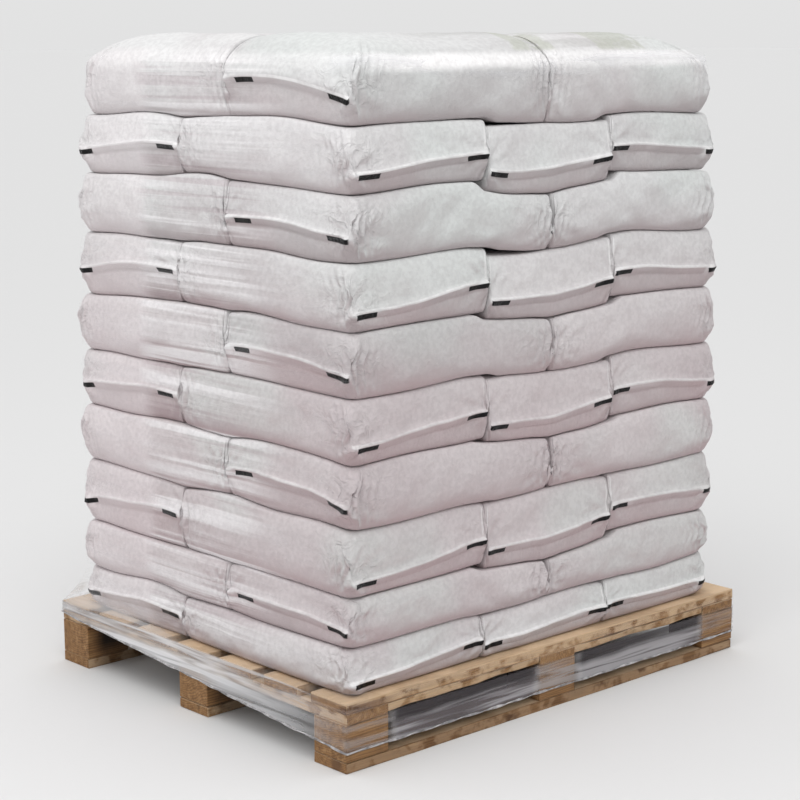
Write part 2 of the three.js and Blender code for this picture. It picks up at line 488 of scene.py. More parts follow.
# %% [markdown]
# Four numbers on the points of each sack tell the material where it is: how far a
# point is along a sealed edge from the nearer corner, how high over that edge, how
# much it belongs to an end, and how creased the plastic is. With them the sealed
# edges turn pale in patches, partly the white of the sealed plies and partly a
# painted highlight, the plastic below them gets painted shade, and the bars lie on
# the seal strip under the edge, from each corner inwards.

# %% Folded ends and printed bars
TURNED_UNDER = (0.12, -0.48)
AT_END = (0.70, 0.90)
BELOW_EDGE = (-0.004, -0.012)
LIP_BELOW = (-0.0030, -0.0012)
LIP_ABOVE = (0.0055, 0.0025)
FLAP_WIDTH = (0.0095, 0.0070)
FLAP_HEIGHT = (-0.001, 0.003)
BAR_ALONG = (0.0, 0.056)
BAR_HEIGHT = (-0.0136, -0.0022)
BAR_SOFTNESS = 0.0012


def folded_coats(finish, colour, low, cloudy):
    """The plastic's colour with painted shade on its underside and below its sealed edges, and the
    white plies of its sealed edges with a painted highlight.
    """
    _, forward, upward = finish.facing()
    along = finish.attribute("bar_along")
    height = finish.attribute("bar_height")
    end_share = finish.attribute("end_share")
    # Painted shade: darker and pinker where the plastic faces down and below the sealed edge of an
    # end.
    turned = upward.ramp(*TURNED_UNDER)
    below = end_share * height.ramp(*BELOW_EDGE)
    under = finish.mix(low * 0.6 + 0.4 * cloudy, SHADE_PLASTIC, PINK_SHADE)
    lip = height.ramp(*LIP_BELOW) * height.ramp(*LIP_ABOVE)
    flap = along.ramp(*FLAP_WIDTH) * height.ramp(*FLAP_HEIGHT) * upward.ramp(0.6, 0.3)
    flap = flap * (forward * forward).ramp(0.35, 0.60)
    flap = flap * finish.attribute("crumple").ramp(0.45, 0.25)
    patchy = finish.noise(finish.place(), 9.0, 3.0, 0.6).ramp(0.34, 0.60, 0.35, 0.9)
    # Pale seal and flap edges: partly whiter sealed plies, partly a painted highlight.
    edges = end_share.ramp(*AT_END) * lip.highest(flap) * patchy * (1 - low * 0.45)
    return finish.coats(colour,
                        (turned + below * 0.6 * (1 - turned), under),
                        (edges, SEAL_WHITE_HIGHLIGHT))


def printed_bars(finish):
    """The two black bars on the seal strip of each end, a little worn."""
    along = finish.attribute("bar_along").between(*BAR_ALONG, BAR_SOFTNESS)
    height = finish.attribute("bar_height").between(*BAR_HEIGHT, BAR_SOFTNESS)
    worn = finish.noise(finish.place(), 240.0, 2.0).ramp(0.16, 0.26)
    return along * height * finish.attribute("end_share").ramp(*AT_END) * worn


print("bars", BAR_ALONG[1] - BAR_ALONG[0], "m long")

# %% [markdown]
# The relief goes from fine to coarse: the emboss of the film, the granules behind
# it, soft creases, the sharp folds near the corners, and the creases of the
# stretch film. What is larger than a finger is in the mesh.

# %% Relief and the whole finish
EMBOSS_DEPTH = 0.0006
GRANULE_DEPTH = 0.0018
CREASE_RELIEF = 0.006
FOLD_RELIEF = 0.008
FILM_RELIEF = 0.005
SATIN = (0.34, 0.52)
PLASTIC_IOR = 1.5
PLASTIC_GLINT = 0.18


def plastic_relief(finish, granules):
    """The normal of the plastic, from its fine emboss to the creases of the film."""
    place = finish.place()
    folds = (finish.noise(place, 30.0, 2.0, 0.55, 0.9) - 0.5) * 2
    folds = 1 - (folds * folds) ** 0.4
    return finish.relief((finish.noise(place, 420.0, 1.0), EMBOSS_DEPTH, 0.6),
                         (granules, GRANULE_DEPTH, 0.8),
                         (finish.noise(place, 16.0, 2.0, 0.5, 0.5), CREASE_RELIEF, 0.3),
                         (folds * finish.attribute("crumple"), FOLD_RELIEF, 0.7),
                         (film_creases(finish), FILM_RELIEF, film_band(finish) * 0.8))


def sack_plastic():
    """White embossed plastic film with two black bars at each end."""
    finish = Finish("sack_plastic")
    place = finish.place()
    _, _, z = finish.axes()
    _, _, upward = finish.facing()
    cloudy = finish.noise(place, 3.2, 3.0).ramp(0.35, 0.70)
    # Painted shade and reflection: how much darker and pinker the plastic is low down.
    low = z.ramp(*LOW_HEIGHT) * z.ramp(*LOWEST_HEIGHT)
    colour = plain_plastic(finish, low, cloudy)
    colour = folded_coats(finish, colour, low, cloudy)
    colour = film_coats(finish, colour)
    granules = finish.noise(place, 95.0, 3.0, 0.55)
    mottled = finish.mix(granules.ramp(0.35, 0.65), MOTTLE_DARK, MOTTLE_LIGHT)
    # The painted crown highlight, the granule mottle (left off the painted shade underneath) and the
    # printed bars.
    colour = finish.coats(colour,
                          (painted_crown_highlight(finish), CROWN_HIGHLIGHT),
                          (1 - upward.ramp(*TURNED_UNDER), mottled, "MULTIPLY"),
                          (printed_bars(finish), PRINT_BLACK))
    finish.surface(Base_Color=colour, Roughness=finish.noise(place, 14.0).ramp(0, 1, *SATIN),
                   Normal=plastic_relief(finish, granules), IOR=PLASTIC_IOR,
                   Specular_IOR_Level=PLASTIC_GLINT)
    return finish.material


plastic = sack_plastic()
print("made", plastic.name, "with", len(plastic.node_tree.nodes), "nodes")

# %% [markdown]
# ## How the load is laid
# Each layer is a row of three sacks laid across the pallet and a row of two laid
# along it. The next layer has its rows swapped, so joints never run on upwards.
# Where two sacks meet, the layer has a shallow valley, and the sacks above sag
# into it. A small set of functions holds that: the joints of each layer, and the
# surface that two layers share.

# %% Layers and joints
LAYER_COUNT = 10
CROSS_ROW_SHARE = 0.578
LONG_ROW_SHARE = 0.412
LAYER_GAP = 0.0006
END_VALLEY_DEPTH = 0.004
SIDE_VALLEY_DEPTH = 0.003
VALLEY_WIDTH = 0.040
RIDGE_SHARE = 0.3
CROWN_DENT = 0.003
CROWN_VALLEY = 6.0
CROWN_RIPPLE = 0.006
CROWN_WRINKLE = 0.0014
FRONT_SAG_MM = ((1, 4), (12, 20), (4, 8), (8, 22), (8, 11), (14, 25), (5, 15), (20, 36), (10, 22))
BACK_SAG_MM = ((8, 14), (3, 6), (9, 18), (5, 8), (12, 22), (6, 12), (14, 26), (8, 16), (16, 28))
SACK_EDGE = (0.995, 1.003)
BRIDGE_INSIDE = (0.76, 1.0)
BRIDGE_OUTSIDE = (1.0, 1.22)
CORNER_DROOP = 0.012
DROOP_REACH = 0.22
UNEVENNESS = 0.0026
BACK_ROW_SHARE = (0.40, 0.62)
CROWN_INSIDE = (0.07, 0.22)


def wave_field(seed, wavelength, count=12):
    """A smooth random field of about unit size, made of plane waves."""
    rng = np.random.default_rng(seed)
    directions = rng.normal(size=(count, 3))
    directions /= np.linalg.norm(directions, axis=1, keepdims=True)
    turns = 2 * math.pi / wavelength * rng.uniform(0.6, 1.5, (count, 1))
    phases = rng.uniform(0, 2 * math.pi, count)

    def field(points):
        return np.sin(points @ (directions * turns).T + phases).sum(-1) * math.sqrt(2 / count)

    return field


def read_layers():
    """The plan and levels of each layer, from its CAD solid."""
    found = []
    for number in range(1, LAYER_COUNT + 1):
        low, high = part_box(f"sack_layer_{number:02d}")
        cross_in_front = number % 2 == 1
        share = CROSS_ROW_SHARE if cross_in_front else LONG_ROW_SHARE
        split = low.y + (high.y - low.y) * share
        found.append({"number": number, "low": low, "high": high, "split": split,
                      "front": 3 if cross_in_front else 2,
                      "back": 2 if cross_in_front else 3})
    return found


def joint_lines(layer):
    """The straight joints of a layer: their end points in plan and their depth."""
    low, high, split = layer["low"], layer["high"], layer["split"]
    lines = [((low.x, split), (high.x, split), SIDE_VALLEY_DEPTH)]
    for count, y0, y1 in ((layer["front"], low.y, split), (layer["back"], split, high.y)):
        depth = END_VALLEY_DEPTH if count == 2 else SIDE_VALLEY_DEPTH
        for i in range(1, count):
            x = low.x + (high.x - low.x) * i / count
            lines.append(((x, y0), (x, y1), depth))
    return lines


def valley(layer, x, y):
    """How deep the valleys over the joints of a layer are at places in plan."""
    total = np.zeros_like(x)
    for start, end, depth in joint_lines(layer):
        nearest_x = np.clip(x, min(start[0], end[0]), max(start[0], end[0]))
        nearest_y = np.clip(y, min(start[1], end[1]), max(start[1], end[1]))
        away = np.hypot(x - nearest_x, y - nearest_y)
        total = total + (depth * np.exp(-((away / VALLEY_WIDTH) ** 2))) ** 4
    return total ** 0.25


layers = read_layers()
uneven = wave_field(7, 0.35)


def soft_step(value, low, high):
    """0 below low, 1 above high and smooth between them."""
    share = np.clip((value - low) / (high - low), 0, 1)
    return share * share * (3 - 2 * share)


def dip(cross_layer, x, cross_below, is_top):
    """Where the middle sack of three has sunk, and how far from its middle."""
    middle = (cross_layer["low"].x + cross_layer["high"].x) / 2
    half = (cross_layer["high"].x - cross_layer["low"].x) / 6
    across = (x - middle) / half
    edge = BRIDGE_INSIDE if cross_below else BRIDGE_OUTSIDE
    if cross_below == is_top:
        edge = SACK_EDGE
    return 1 - soft_step(np.abs(across), *edge), np.clip(1 - across ** 2, 0, 1)


def sag(index, x, y, is_top):
    """How far the middle sacks have sunk into the joints under them."""
    layer = layers[index - 1]
    depth = layer["high"].y - layer["low"].y
    back = soft_step((y - layer["low"].y) / depth, *BACK_ROW_SHARE)
    total = np.zeros_like(x)
    for share, rows, cross_below in ((1 - back, FRONT_SAG_MM, index % 2 == 1),
                                     (back, BACK_SAG_MM, index % 2 == 0)):
        cross_layer = layers[index - 1] if cross_below else layers[index]
        inside, crown = dip(cross_layer, x, cross_below, is_top)
        edge, middle = rows[index - 1]
        total += share * inside * (edge + (middle - edge) * crown) / 1000
    return total


def droop(index, x, y):
    """How far the outer corners of a level hang."""
    layer = layers[index - 1]
    total = np.zeros_like(x)
    for end_x in (layer["low"].x, layer["high"].x):
        for end_y in (layer["low"].y, layer["high"].y):
            away = np.hypot(x - end_x, y - end_y) / DROOP_REACH
            total += CORNER_DROOP * np.exp(-(away ** 2))
    return total * math.sqrt(index / LAYER_COUNT)


def shared_level(index, x, y, is_top):
    """The top of layer number index, or the underside of the one above it."""
    if index == 0:
        return np.full_like(x, layers[0]["low"].z)
    if index == LAYER_COUNT:
        dents = CROWN_DENT * (1 - uneven(np.stack((x, y, 0 * x), -1) * 1.3) / 3)
        low, high = layers[-1]["low"], layers[-1]["high"]
        from_x = np.minimum(x - low.x, high.x - x)
        from_y = np.minimum(y - low.y, high.y - y)
        inside = soft_step(np.minimum(from_x, from_y), *CROWN_INSIDE)
        dents = dents + (1 + CROWN_VALLEY * inside) * valley(layers[-1], x, y)
        ripples = uneven(np.stack((x, y, 0 * x + 3), -1) * 2.7)
        wrinkles = uneven(np.stack((x * 3.0, y * 4.6, 0 * x + 5), -1))
        dents = dents + inside * (CROWN_RIPPLE * (1 + ripples / 3) + CROWN_WRINKLE * wrinkles)
        return high.z - dents
    below, above = layers[index - 1], layers[index]
    level = (below["high"].z + above["low"].z) / 2
    spread = uneven(np.stack((x, y, np.full_like(x, index * 0.9)), -1))
    ridge = RIDGE_SHARE * valley(above, x, y)
    level = level - valley(below, x, y) + ridge + UNEVENNESS * spread
    return level - sag(index, x, y, is_top) - droop(index, x, y)


print("layer tops", [round(layer["high"].z, 3) for layer in layers])

# %% [markdown]
# ## One sack
# A filled sack has two kinds of side. Its long sides are plain bulges. Its ends
# are folded: an upper panel slopes out to a sealed edge, a narrow seal strip hangs
# under that edge, and the film below it goes back under the sack. The sack is
# made as a tube, ring over ring: a flat grid from one bmesh operator is rolled
# round the outline of the sack, its seam is welded and its two openings are
# filled. Rings cost few faces on the hidden inner sides and many on the sides
# that show, which a subdivided box could not do. First come the profiles, which
# say how far each ring stands back from the widest line, and how high it is.

# %% Profiles of a side and an end
LOWER_RINGS = 11
UPPER_RINGS = 13
RING_COUNT = LOWER_RINGS + UPPER_RINGS
SIDE_DEPTHS = (0.019, 0.013)
SIDE_WIDEST = 0.52
SIDE_BOXINESS = (0.85, 0.66)
SHOULDER_WIDTHS = (0.185, 0.135, 0.115, 0.130)
SHOULDER_START = 0.54
STRIP_HEIGHT = 0.0135
PANEL_HEIGHTS = (0, 0.06, 0.20, 0.42, 0.66, 0.86, 1.0)
STRIP_HEIGHTS = (0.02, 0.10, 0.60, 1.0)
UPPER_HEIGHTS = (0.02, 0.06, 0.12, 0.22, 0.34, 0.46, 0.58, 0.70, 0.81, 0.89, 0.95, 0.985, 1.0)
PANEL_INSETS_MM = (19, 14, 10.8, 8.6, 7.2, 6.2, 5.4)
STRIP_INSETS_MM = (4.8, 4.0, 1.8, -1.2)
UPPER_INSETS_MM = (-1.6, 3.6, 5.6, 6.0, 6.4, 6.8, 7.2, 7.8, 8.6, 10.0, 12.4, 15.5, 21)
SIDE, END, SHOULDER, SHOULDER_END = range(4)


def rounded(angles, boxiness):
    """A quarter turn that is boxier than a circle: its forward and upward shares."""
    return np.cos(angles) ** boxiness, np.sin(angles) ** boxiness


def profile(kind, ridge, height, shoulder_width):
    """Height shares and insets of all rings, for each ridge share along a side."""
    lower = np.linspace(1, 0, LOWER_RINGS)[:, None] * math.pi / 2
    upper = np.linspace(0, 1, UPPER_RINGS + 1)[1:, None] * math.pi / 2
    forward, upward = rounded(lower, SIDE_BOXINESS[0])
    heights = SIDE_WIDEST * (1 - upward) + 0 * ridge
    insets = SIDE_DEPTHS[0] * (1 - forward)
    forward, upward = rounded(upper, SIDE_BOXINESS[1])
    heights_above = SIDE_WIDEST + (1 - SIDE_WIDEST) * upward + 0 * ridge
    insets_above = SIDE_DEPTHS[1] * (1 - forward)
    if kind in (END, SHOULDER_END):
        strip = STRIP_HEIGHT / height
        panel = np.array(PANEL_HEIGHTS)[:, None] * (ridge - strip)
        seal = ridge - strip + strip * np.array(STRIP_HEIGHTS)[:, None]
        heights = np.vstack((panel, seal))
        insets = np.array(PANEL_INSETS_MM + STRIP_INSETS_MM)[:, None] / 1000
        heights_above = ridge + (1 - ridge) * np.array(UPPER_HEIGHTS)[:, None]
        insets_above = np.array(UPPER_INSETS_MM)[:, None] / 1000
    if kind in (SHOULDER, SHOULDER_END):
        start = ridge if kind == SHOULDER_END else SHOULDER_START + 0 * ridge
        heights_above = start + (1 - start) * np.sin(upper)
        insets_above = shoulder_width * (1 - np.cos(upper)) - 0.001
    heights = np.vstack((heights, heights_above))
    insets = np.vstack((insets, insets_above)) + 0 * ridge
    return heights, insets


print("rings", RING_COUNT)

# %% [markdown]
# The outline of a sack is a rectangle with rounded corners. It is walked from
# corner to corner, in small steps along the sides that show and in large steps
# along those that press on a neighbour. The corner is tight at the sealed edge of
# the end and wider above and below it.

# %% Outline of a sack
FINE_STEP = 0.0065
COARSE_STEP = 0.032
TOP_STEP = 0.014
END_CROWDING = 0.5
CORNER_POINTS = 6
CORNER_HEIGHTS = (0, 0.2, 0.36, 0.44, 0.62, 1.0)
NEAR_RADII_MM = (26, 20, 14, 10, 20, 30)
FAR_RADII_MM = (54, 50, 46, 42, 48, 56)
TOP_RADII_MM = (54, 50, 50, 56, 84, 120)
JOINT_RADII_MM = (8, 6, 4.5, 3.5, 4.5, 8)
TOP_JOINT_RADII_MM = (7, 5, 3.5, 2.5, 2.5, 3)
TOP_INNER_RADII_MM = (7, 5, 4, 8, 22, 38)


def outline(half_sizes, shows, hidden_step):
    """Round a sack: each point's side, its place from -1 to 1, and the turn there."""
    sides, places, turns = [], [], []
    for side in range(4):
        reach = half_sizes[(side + 1) % 2] * 2
        count = max(5, round(reach / (FINE_STEP if shows[side] else hidden_step)))
        for i in range(count):
            even = -1 + 2 * i / count
            sides.append(side)
            places.append(even + END_CROWDING * math.sin(math.pi * even) / math.pi)
            turns.append(side * math.pi / 2)
        for i in range(CORNER_POINTS):
            sides.append(side)
            places.append(1)
            turns.append((side + i / CORNER_POINTS) * math.pi / 2)
    return np.array(sides), np.array(places, float), np.array(turns)


print("corner radii", NEAR_RADII_MM, FAR_RADII_MM, "and", JOINT_RADII_MM, "mm")

# %% [markdown]
# Each end is sealed a little askew, so the sealed edge runs up or down along it.
# The two numbers for an end are the edge's height shares at its left and right,
# seen from outside. The plan of the load gives each sack its place, which way it
# lies, and which of its four sides face a neighbour.

# %% Plan of the sacks
CROSS_RIDGES = ((0.30, 0.46), (0.32, 0.43), (0.47, 0.38))
LENGTH_RIDGES = ((0.49, 0.37), (0.42, 0.54))
TOP_RIDGES = (0.50, 0.30)
OUTER_TOLERANCE = 0.004
NEIGHBOUR_GAP = 0.0005


def plan_sacks():
    """Every sack of the load: its layer, rectangle, direction and open sides."""
    rng = np.random.default_rng(3)
    found = []
    for layer in layers:
        low, high, split = layer["low"], layer["high"], layer["split"]
        for row, count, y0, y1 in (("front", layer["front"], low.y, split),
                                   ("back", layer["back"], split, high.y)):
            for i in range(count):
                x0 = low.x + (high.x - low.x) * i / count
                x1 = low.x + (high.x - low.x) * (i + 1) / count
                lengthwise = count == 2
                beyond = [x1 > high.x - OUTER_TOLERANCE, y1 > high.y - OUTER_TOLERANCE,
                          x0 < low.x + OUTER_TOLERANCE, y0 < low.y + OUTER_TOLERANCE]
                half = ((x1 - x0) / 2 - NEIGHBOUR_GAP, (y1 - y0) / 2 - NEIGHBOUR_GAP)
                found.append({
                    "name": f"sack_{layer['number']:02d}_{row}_{i + 1}",
                    "layer": layer, "lengthwise": lengthwise, "column": i, "row": row,
                    "centre": ((x0 + x1) / 2, (y0 + y1) / 2), "half": half,
                    "open": beyond, "seed": int(rng.integers(1, 10 ** 6))})
    return found


sacks = plan_sacks()
print("sacks", len(sacks))

# %% [markdown]
# The ridge of an end is flat at first and then climbs to its other height, with a
# small wave in it. On the sacks that lie along the pallet it arches instead. Long
# sides have no ridge.

# %% Ridges
RIDGE_WAVE = 0.010
RIDGE_ARCH = 0.06
RIDGE_FLAT_END = -0.45
SIDE_RIDGE = 0.44
RIDGE_SPREAD = 0.022


def ridge_ends(sack, side, rng):
    """The height shares of the sealed edge at the left and right of an end."""
    spread = rng.normal(0, RIDGE_SPREAD, 2)
    if sack["layer"]["number"] == LAYER_COUNT and side == 2:
        return np.array(TOP_RIDGES)
    if sack["lengthwise"]:
        pair = LENGTH_RIDGES[0 if sack["row"] == "front" else 1]
        pair = pair if side == 2 else pair[::-1]
    else:
        pair = CROSS_RIDGES[sack["column"]]
    return np.array(pair) + spread


def ridge_line(sack, side, places, rng):
    """The height share of the sealed edge at each place along a side."""
    left, right = ridge_ends(sack, side, rng)
    phase = rng.uniform(0, 2 * math.pi)
    flat = -1 if sack["lengthwise"] else RIDGE_FLAT_END
    climb = (places - flat) / (1 - flat)
    rise = (climb + np.sqrt(climb ** 2 + 0.02)) / (1 + math.sqrt(1.02))
    arch = RIDGE_ARCH * (1 - places ** 2) * sack["lengthwise"]
    wave = RIDGE_WAVE * np.sin(places * 3.9 + phase) * (1 - places ** 2)
    return left + (right - left) * rise + wave + arch


print("ridge wave", RIDGE_WAVE)

# %% [markdown]
# Now the points of a sack can be worked out. The rings follow the profiles, and
# then the sack is made less perfect: its sides crown between the corners, the
# corners drop a little, folds fan out from the ends of the sealed edge, and the
# plastic between them is uneven.

# %% Points of a sack
SIDE_CROWN = 0.004
END_CROWN = 0.003
CORNER_DROP = 0.003
CORNER_REACH = 0.080
EAR_SIZE = 0.016
EAR_BULGE = 0.007
FOLD_DEPTH = 0.0028
FOLD_REACH = 0.060
HIDDEN_SHARE = 0.15
PRESSED_FLAT = ((0.20, 0.55), (0.02, 0.08))
CAP_SHARES = (0.84, 0.58, 0.32, 0.12)
TOP_CAP_SHARES = tuple(np.round(np.linspace(0.965, 0.03, 20), 4))
JOINT_WANDER = 0.0045
WANDER_FADE = 0.12


def side_kind(sack, side):
    """Which profile a side has."""
    is_end = sack["lengthwise"] == (side % 2 == 0)
    top_outer = sack["layer"]["number"] == LAYER_COUNT and sack["open"][side]
    if top_outer:
        return SHOULDER_END if is_end else SHOULDER
    return END if is_end else SIDE


def blend_weights(sides, turns):
    """How much each point belongs to each of the four sides."""
    weights = np.zeros((4, len(sides)))
    into = (turns - sides * math.pi / 2) / (math.pi / 2)
    smooth = into * into * (3 - 2 * into)
    index = np.arange(len(sides))
    weights[sides, index] = 1 - smooth
    weights[(sides + 1) % 4, index] += smooth
    return weights


def ring_shape(sack, sides, places, turns, rng):
    """Height shares and plan positions of all the rings of a sack."""
    height = sack["layer"]["high"].z - sack["layer"]["low"].z
    weights = blend_weights(sides, turns)
    heights = np.zeros((RING_COUNT, len(sides)))
    insets, ridges, ends = [], [], np.zeros(len(sides))
    for side in range(4):
        local = np.where(sides == side, places, np.where(sides == (side + 3) % 4, -1, 1))
        kind = side_kind(sack, side)
        ridge = np.full(len(sides), SIDE_RIDGE)
        if kind in (END, SHOULDER_END):
            ridge = ridge_line(sack, side, local, rng)
            ends += weights[side]
        side_heights, side_insets = profile(kind, ridge, height, SHOULDER_WIDTHS[side])
        heights += weights[side] * side_heights
        flatness = PRESSED_FLAT[int(sack["layer"]["number"] == LAYER_COUNT)]
        pressed = 1 if sack["open"][side] else rng.uniform(*flatness)
        insets.append(side_insets[:, :1] * pressed)
        ridges.append(ridge)
    ridge = (weights * np.array(ridges)).sum(0)
    return heights, insets, ridge, ends, weights


def corner_radii(sack):
    """The radius of each corner at all rings; corners at a joint are tight."""
    spots = np.linspace(0, 1, RING_COUNT)
    found = []
    for corner in range(4):
        is_top = sack["layer"]["number"] == LAYER_COUNT
        radii = TOP_JOINT_RADII_MM if is_top else JOINT_RADII_MM
        if is_top and not (sack["open"][corner] or sack["open"][(corner + 1) % 4]):
            radii = TOP_INNER_RADII_MM
        if sack["open"][corner] and sack["open"][(corner + 1) % 4]:
            radii = NEAR_RADII_MM if corner == 2 else FAR_RADII_MM
            if is_top and corner != 2:
                radii = TOP_RADII_MM
        found.append(np.interp(spots, CORNER_HEIGHTS, radii)[:, None] / 1000)
    return found


def plan_points(sack, sides, places, turns, insets):
    """Where the rings are in plan, from the sack's middle."""
    half_x, half_y = sack["half"]
    reach = [half - inset for half, inset in zip((half_x, half_y) * 2, insets)]
    radii = corner_radii(sack)
    edge_x = [reach[0], -reach[2], -reach[2], reach[0]]
    edge_y = [reach[1], reach[1], -reach[3], -reach[3]]
    signs = ((1, 1), (-1, 1), (-1, -1), (1, -1))
    x, y = [], []
    for side, place, turn in zip(sides, places, turns):
        spots = []
        for corner in ((side + 3) % 4, side):
            radius = radii[corner]
            spots.append((edge_x[corner] + radius * (math.cos(turn) - signs[corner][0]),
                          edge_y[corner] + radius * (math.sin(turn) - signs[corner][1])))
        share = (place + 1) / 2
        x.append(spots[0][0] * (1 - share) + spots[1][0] * share)
        y.append(spots[0][1] * (1 - share) + spots[1][1] * share)
    return np.hstack(x), np.hstack(y)


sideways = wave_field(31, 0.34)
endways = wave_field(32, 0.34)


def wander(sack, x, y):
    """Bends the joints of the upper layer, in the same way for both neighbours."""
    low, high = sack["layer"]["low"], sack["layer"]["high"]
    world_x = x + sack["centre"][0]
    world_y = y + sack["centre"][1]
    from_x = np.minimum(world_x - low.x, high.x - world_x)
    from_y = np.minimum(world_y - low.y, high.y - world_y)
    amount = JOINT_WANDER * soft_step(np.minimum(from_x, from_y), 0.0, WANDER_FADE)
    spots = np.stack((world_x, world_y, 0 * x), -1)
    return x + amount * sideways(spots), y + amount * endways(spots)


print("hidden sides keep", HIDDEN_SHARE, "of the unevenness")

# %% [markdown]
# Three things make a sack uneven. Broad and small swellings and creases come from
# smooth random fields. Folds fan out from the four ends of the sealed edges, and
# upright folds stand on the long sides next to the ends, where the gusset of the
# film is gathered. Under each end of a sealed edge hangs a small folded ear.

# %% Unevenness of a sack
BROAD_UNEVENNESS = 0.0022
SMALL_UNEVENNESS = 0.0008
CREASE_DEPTH = 0.0012
WAVELENGTHS = (0.24, 0.075, 0.060)
FOLD_COUNTS = (5, 9)
GUSSET_DEPTH = 0.0055
GUSSET_STRENGTH = (0.5, 1.2)
GUSSET_SPACING = (0.017, 0.024)
GUSSET_CURVE = 0.012
GUSSET_REACH = 0.038


def side_reach(sack, sides):
    """Half the length of the side that each point is on."""
    half_x, half_y = sack["half"]
    return np.where(sides % 2 == 0, half_y, half_x)


def corner_fans(sack, x, y, above, rng):
    """Folds that fan out from the four ends of the sealed edges."""
    depth = np.zeros_like(x)
    half_x, half_y = sack["half"]
    for sign_x in (-1, 1):
        for sign_y in (-1, 1):
            away = np.hypot(x - sign_x * half_x, y - sign_y * half_y)
            angle = np.arctan2(above, away + 0.004)
            reach = np.hypot(away, above) / FOLD_REACH
            count = rng.integers(*FOLD_COUNTS)
            fold = np.sin(angle * count + rng.uniform(0, 6.3))
            sharp = 1 - 2 * np.abs(fold) ** 0.7
            depth += FOLD_DEPTH * sharp * reach * np.exp(1 - reach ** 2) * 0.6
    return depth


def gusset_folds(sack, sides, places, share, rng):
    """Upright curved folds on the long sides, next to their ends."""
    reach = side_reach(sack, sides)
    depth = np.zeros_like(share)
    for end in (-1, 1):
        strength = rng.uniform(*GUSSET_STRENGTH)
        spacing = rng.uniform(*GUSSET_SPACING)
        away = (1 - end * places) * reach
        curved = away + GUSSET_CURVE * (2 * share - 1) ** 2 + 0.004 * np.sin(share * 9 + end)
        fade = np.exp(-away / GUSSET_REACH) * np.sin(np.clip(share, 0, 1) * math.pi)
        depth += strength * GUSSET_DEPTH * np.sin(2 * math.pi * curved / spacing) * fade
    return depth


def ear(sack, sides, places, ends, above):
    """The folded corner that hangs under each end of a sealed edge."""
    from_corner = (1 - np.abs(places)) * side_reach(sack, sides)
    beside = np.exp(-((from_corner / EAR_SIZE) ** 2)) * ends
    window = np.clip((above + 0.034) / 0.008, 0, 1) * np.clip((0.001 - above) / 0.003, 0, 1)
    return EAR_BULGE * beside * window


def bulge(sack, x, y, z, share, sides, places, ends, above, rng):
    """How far each ring point stands out of, or back from, its even place."""
    local = np.stack((x, y, z), -1).reshape(-1, 3)
    squashed = (1, 1, (0.5, 0.5, 1.3))
    broad, small, crease = (
        wave_field(sack["seed"] + i, WAVELENGTHS[i])(local * squashed[i]).reshape(x.shape)
        for i in range(3))
    middle = np.sin(np.clip(share, 0, 1) * math.pi) ** 0.6
    out = middle * (BROAD_UNEVENNESS * broad + SMALL_UNEVENNESS * small)
    out -= middle * CREASE_DEPTH * np.exp(-((crease / 0.25) ** 2))
    out += middle * corner_fans(sack, x, y, above, rng)
    out += gusset_folds(sack, sides, places, share, rng) * (1 - ends)
    crown = END_CROWN * ends + SIDE_CROWN * (1 - ends)
    return out - crown * places ** 2


print("unevenness up to", BROAD_UNEVENNESS * 2, "m")

# %% [markdown]
# Two of the middle sacks have sunk further than the sacks above them could follow,
# so a dark hollow shows over their front edge. It is deepest at its left.

# %% Levels of a sack
HOLLOWS = {"sack_07_front_2": 0.009, "sack_09_front_2": 0.004}
HOLLOW_ALONG = (-0.9, 0.15)
HOLLOW_INWARD = (-1.0, 0.3)


def corner_drop(sack, x, y, drops):
    """How far the top of a sack has sunk near its corners."""
    half_x, half_y = sack["half"]
    total = np.zeros_like(x)
    for drop, sign_x, sign_y in zip(drops, (-1, 1, -1, 1), (-1, -1, 1, 1)):
        away = np.hypot(x - sign_x * half_x, y - sign_y * half_y) / CORNER_REACH
        total += drop * np.exp(-(away ** 2))
    return total


def levels(sack, x, y, drops):
    """The underside and the top of a sack at places in plan."""
    number = sack["layer"]["number"]
    world_x = x + sack["centre"][0]
    world_y = y + sack["centre"][1]
    bottom = shared_level(number - 1, world_x, world_y, False) + LAYER_GAP / 2
    top = shared_level(number, world_x, world_y, True) - LAYER_GAP / 2
    half_x, half_y = sack["half"]
    hollow = HOLLOWS.get(sack["name"], 0) * (1 - soft_step(x / half_x, *HOLLOW_ALONG))
    hollow = hollow * (1 - soft_step(y / half_y, *HOLLOW_INWARD))
    return bottom, top - corner_drop(sack, x, y, drops) - hollow


# %% [markdown]
# The material has to know where it is on a sack, so each point is marked while the
# sack is made: how creased the plastic is there, and how far along the sealed edge
# the point is from the nearer corner, where a printed bar begins. On sacks that lie
# along the pallet the bars begin further in, and in the front row one of each two
# is a little longer.

# %% Marks for the material
BAR_SHIFTS = (0.0, 0.003)
NEAR_BAR_SHIFT = 0.019
LONG_BAR_SHIFTS = {"front": (0.0, 0.029), "back": (0.018, 0.024)}
LONG_BAR_SHARE = 0.80
CRUMPLE_REACH = 0.075
CRUMPLE_ABOVE = 0.02
CRUMPLE_HEIGHT = 0.05
CREASED_EVERYWHERE = 0.12


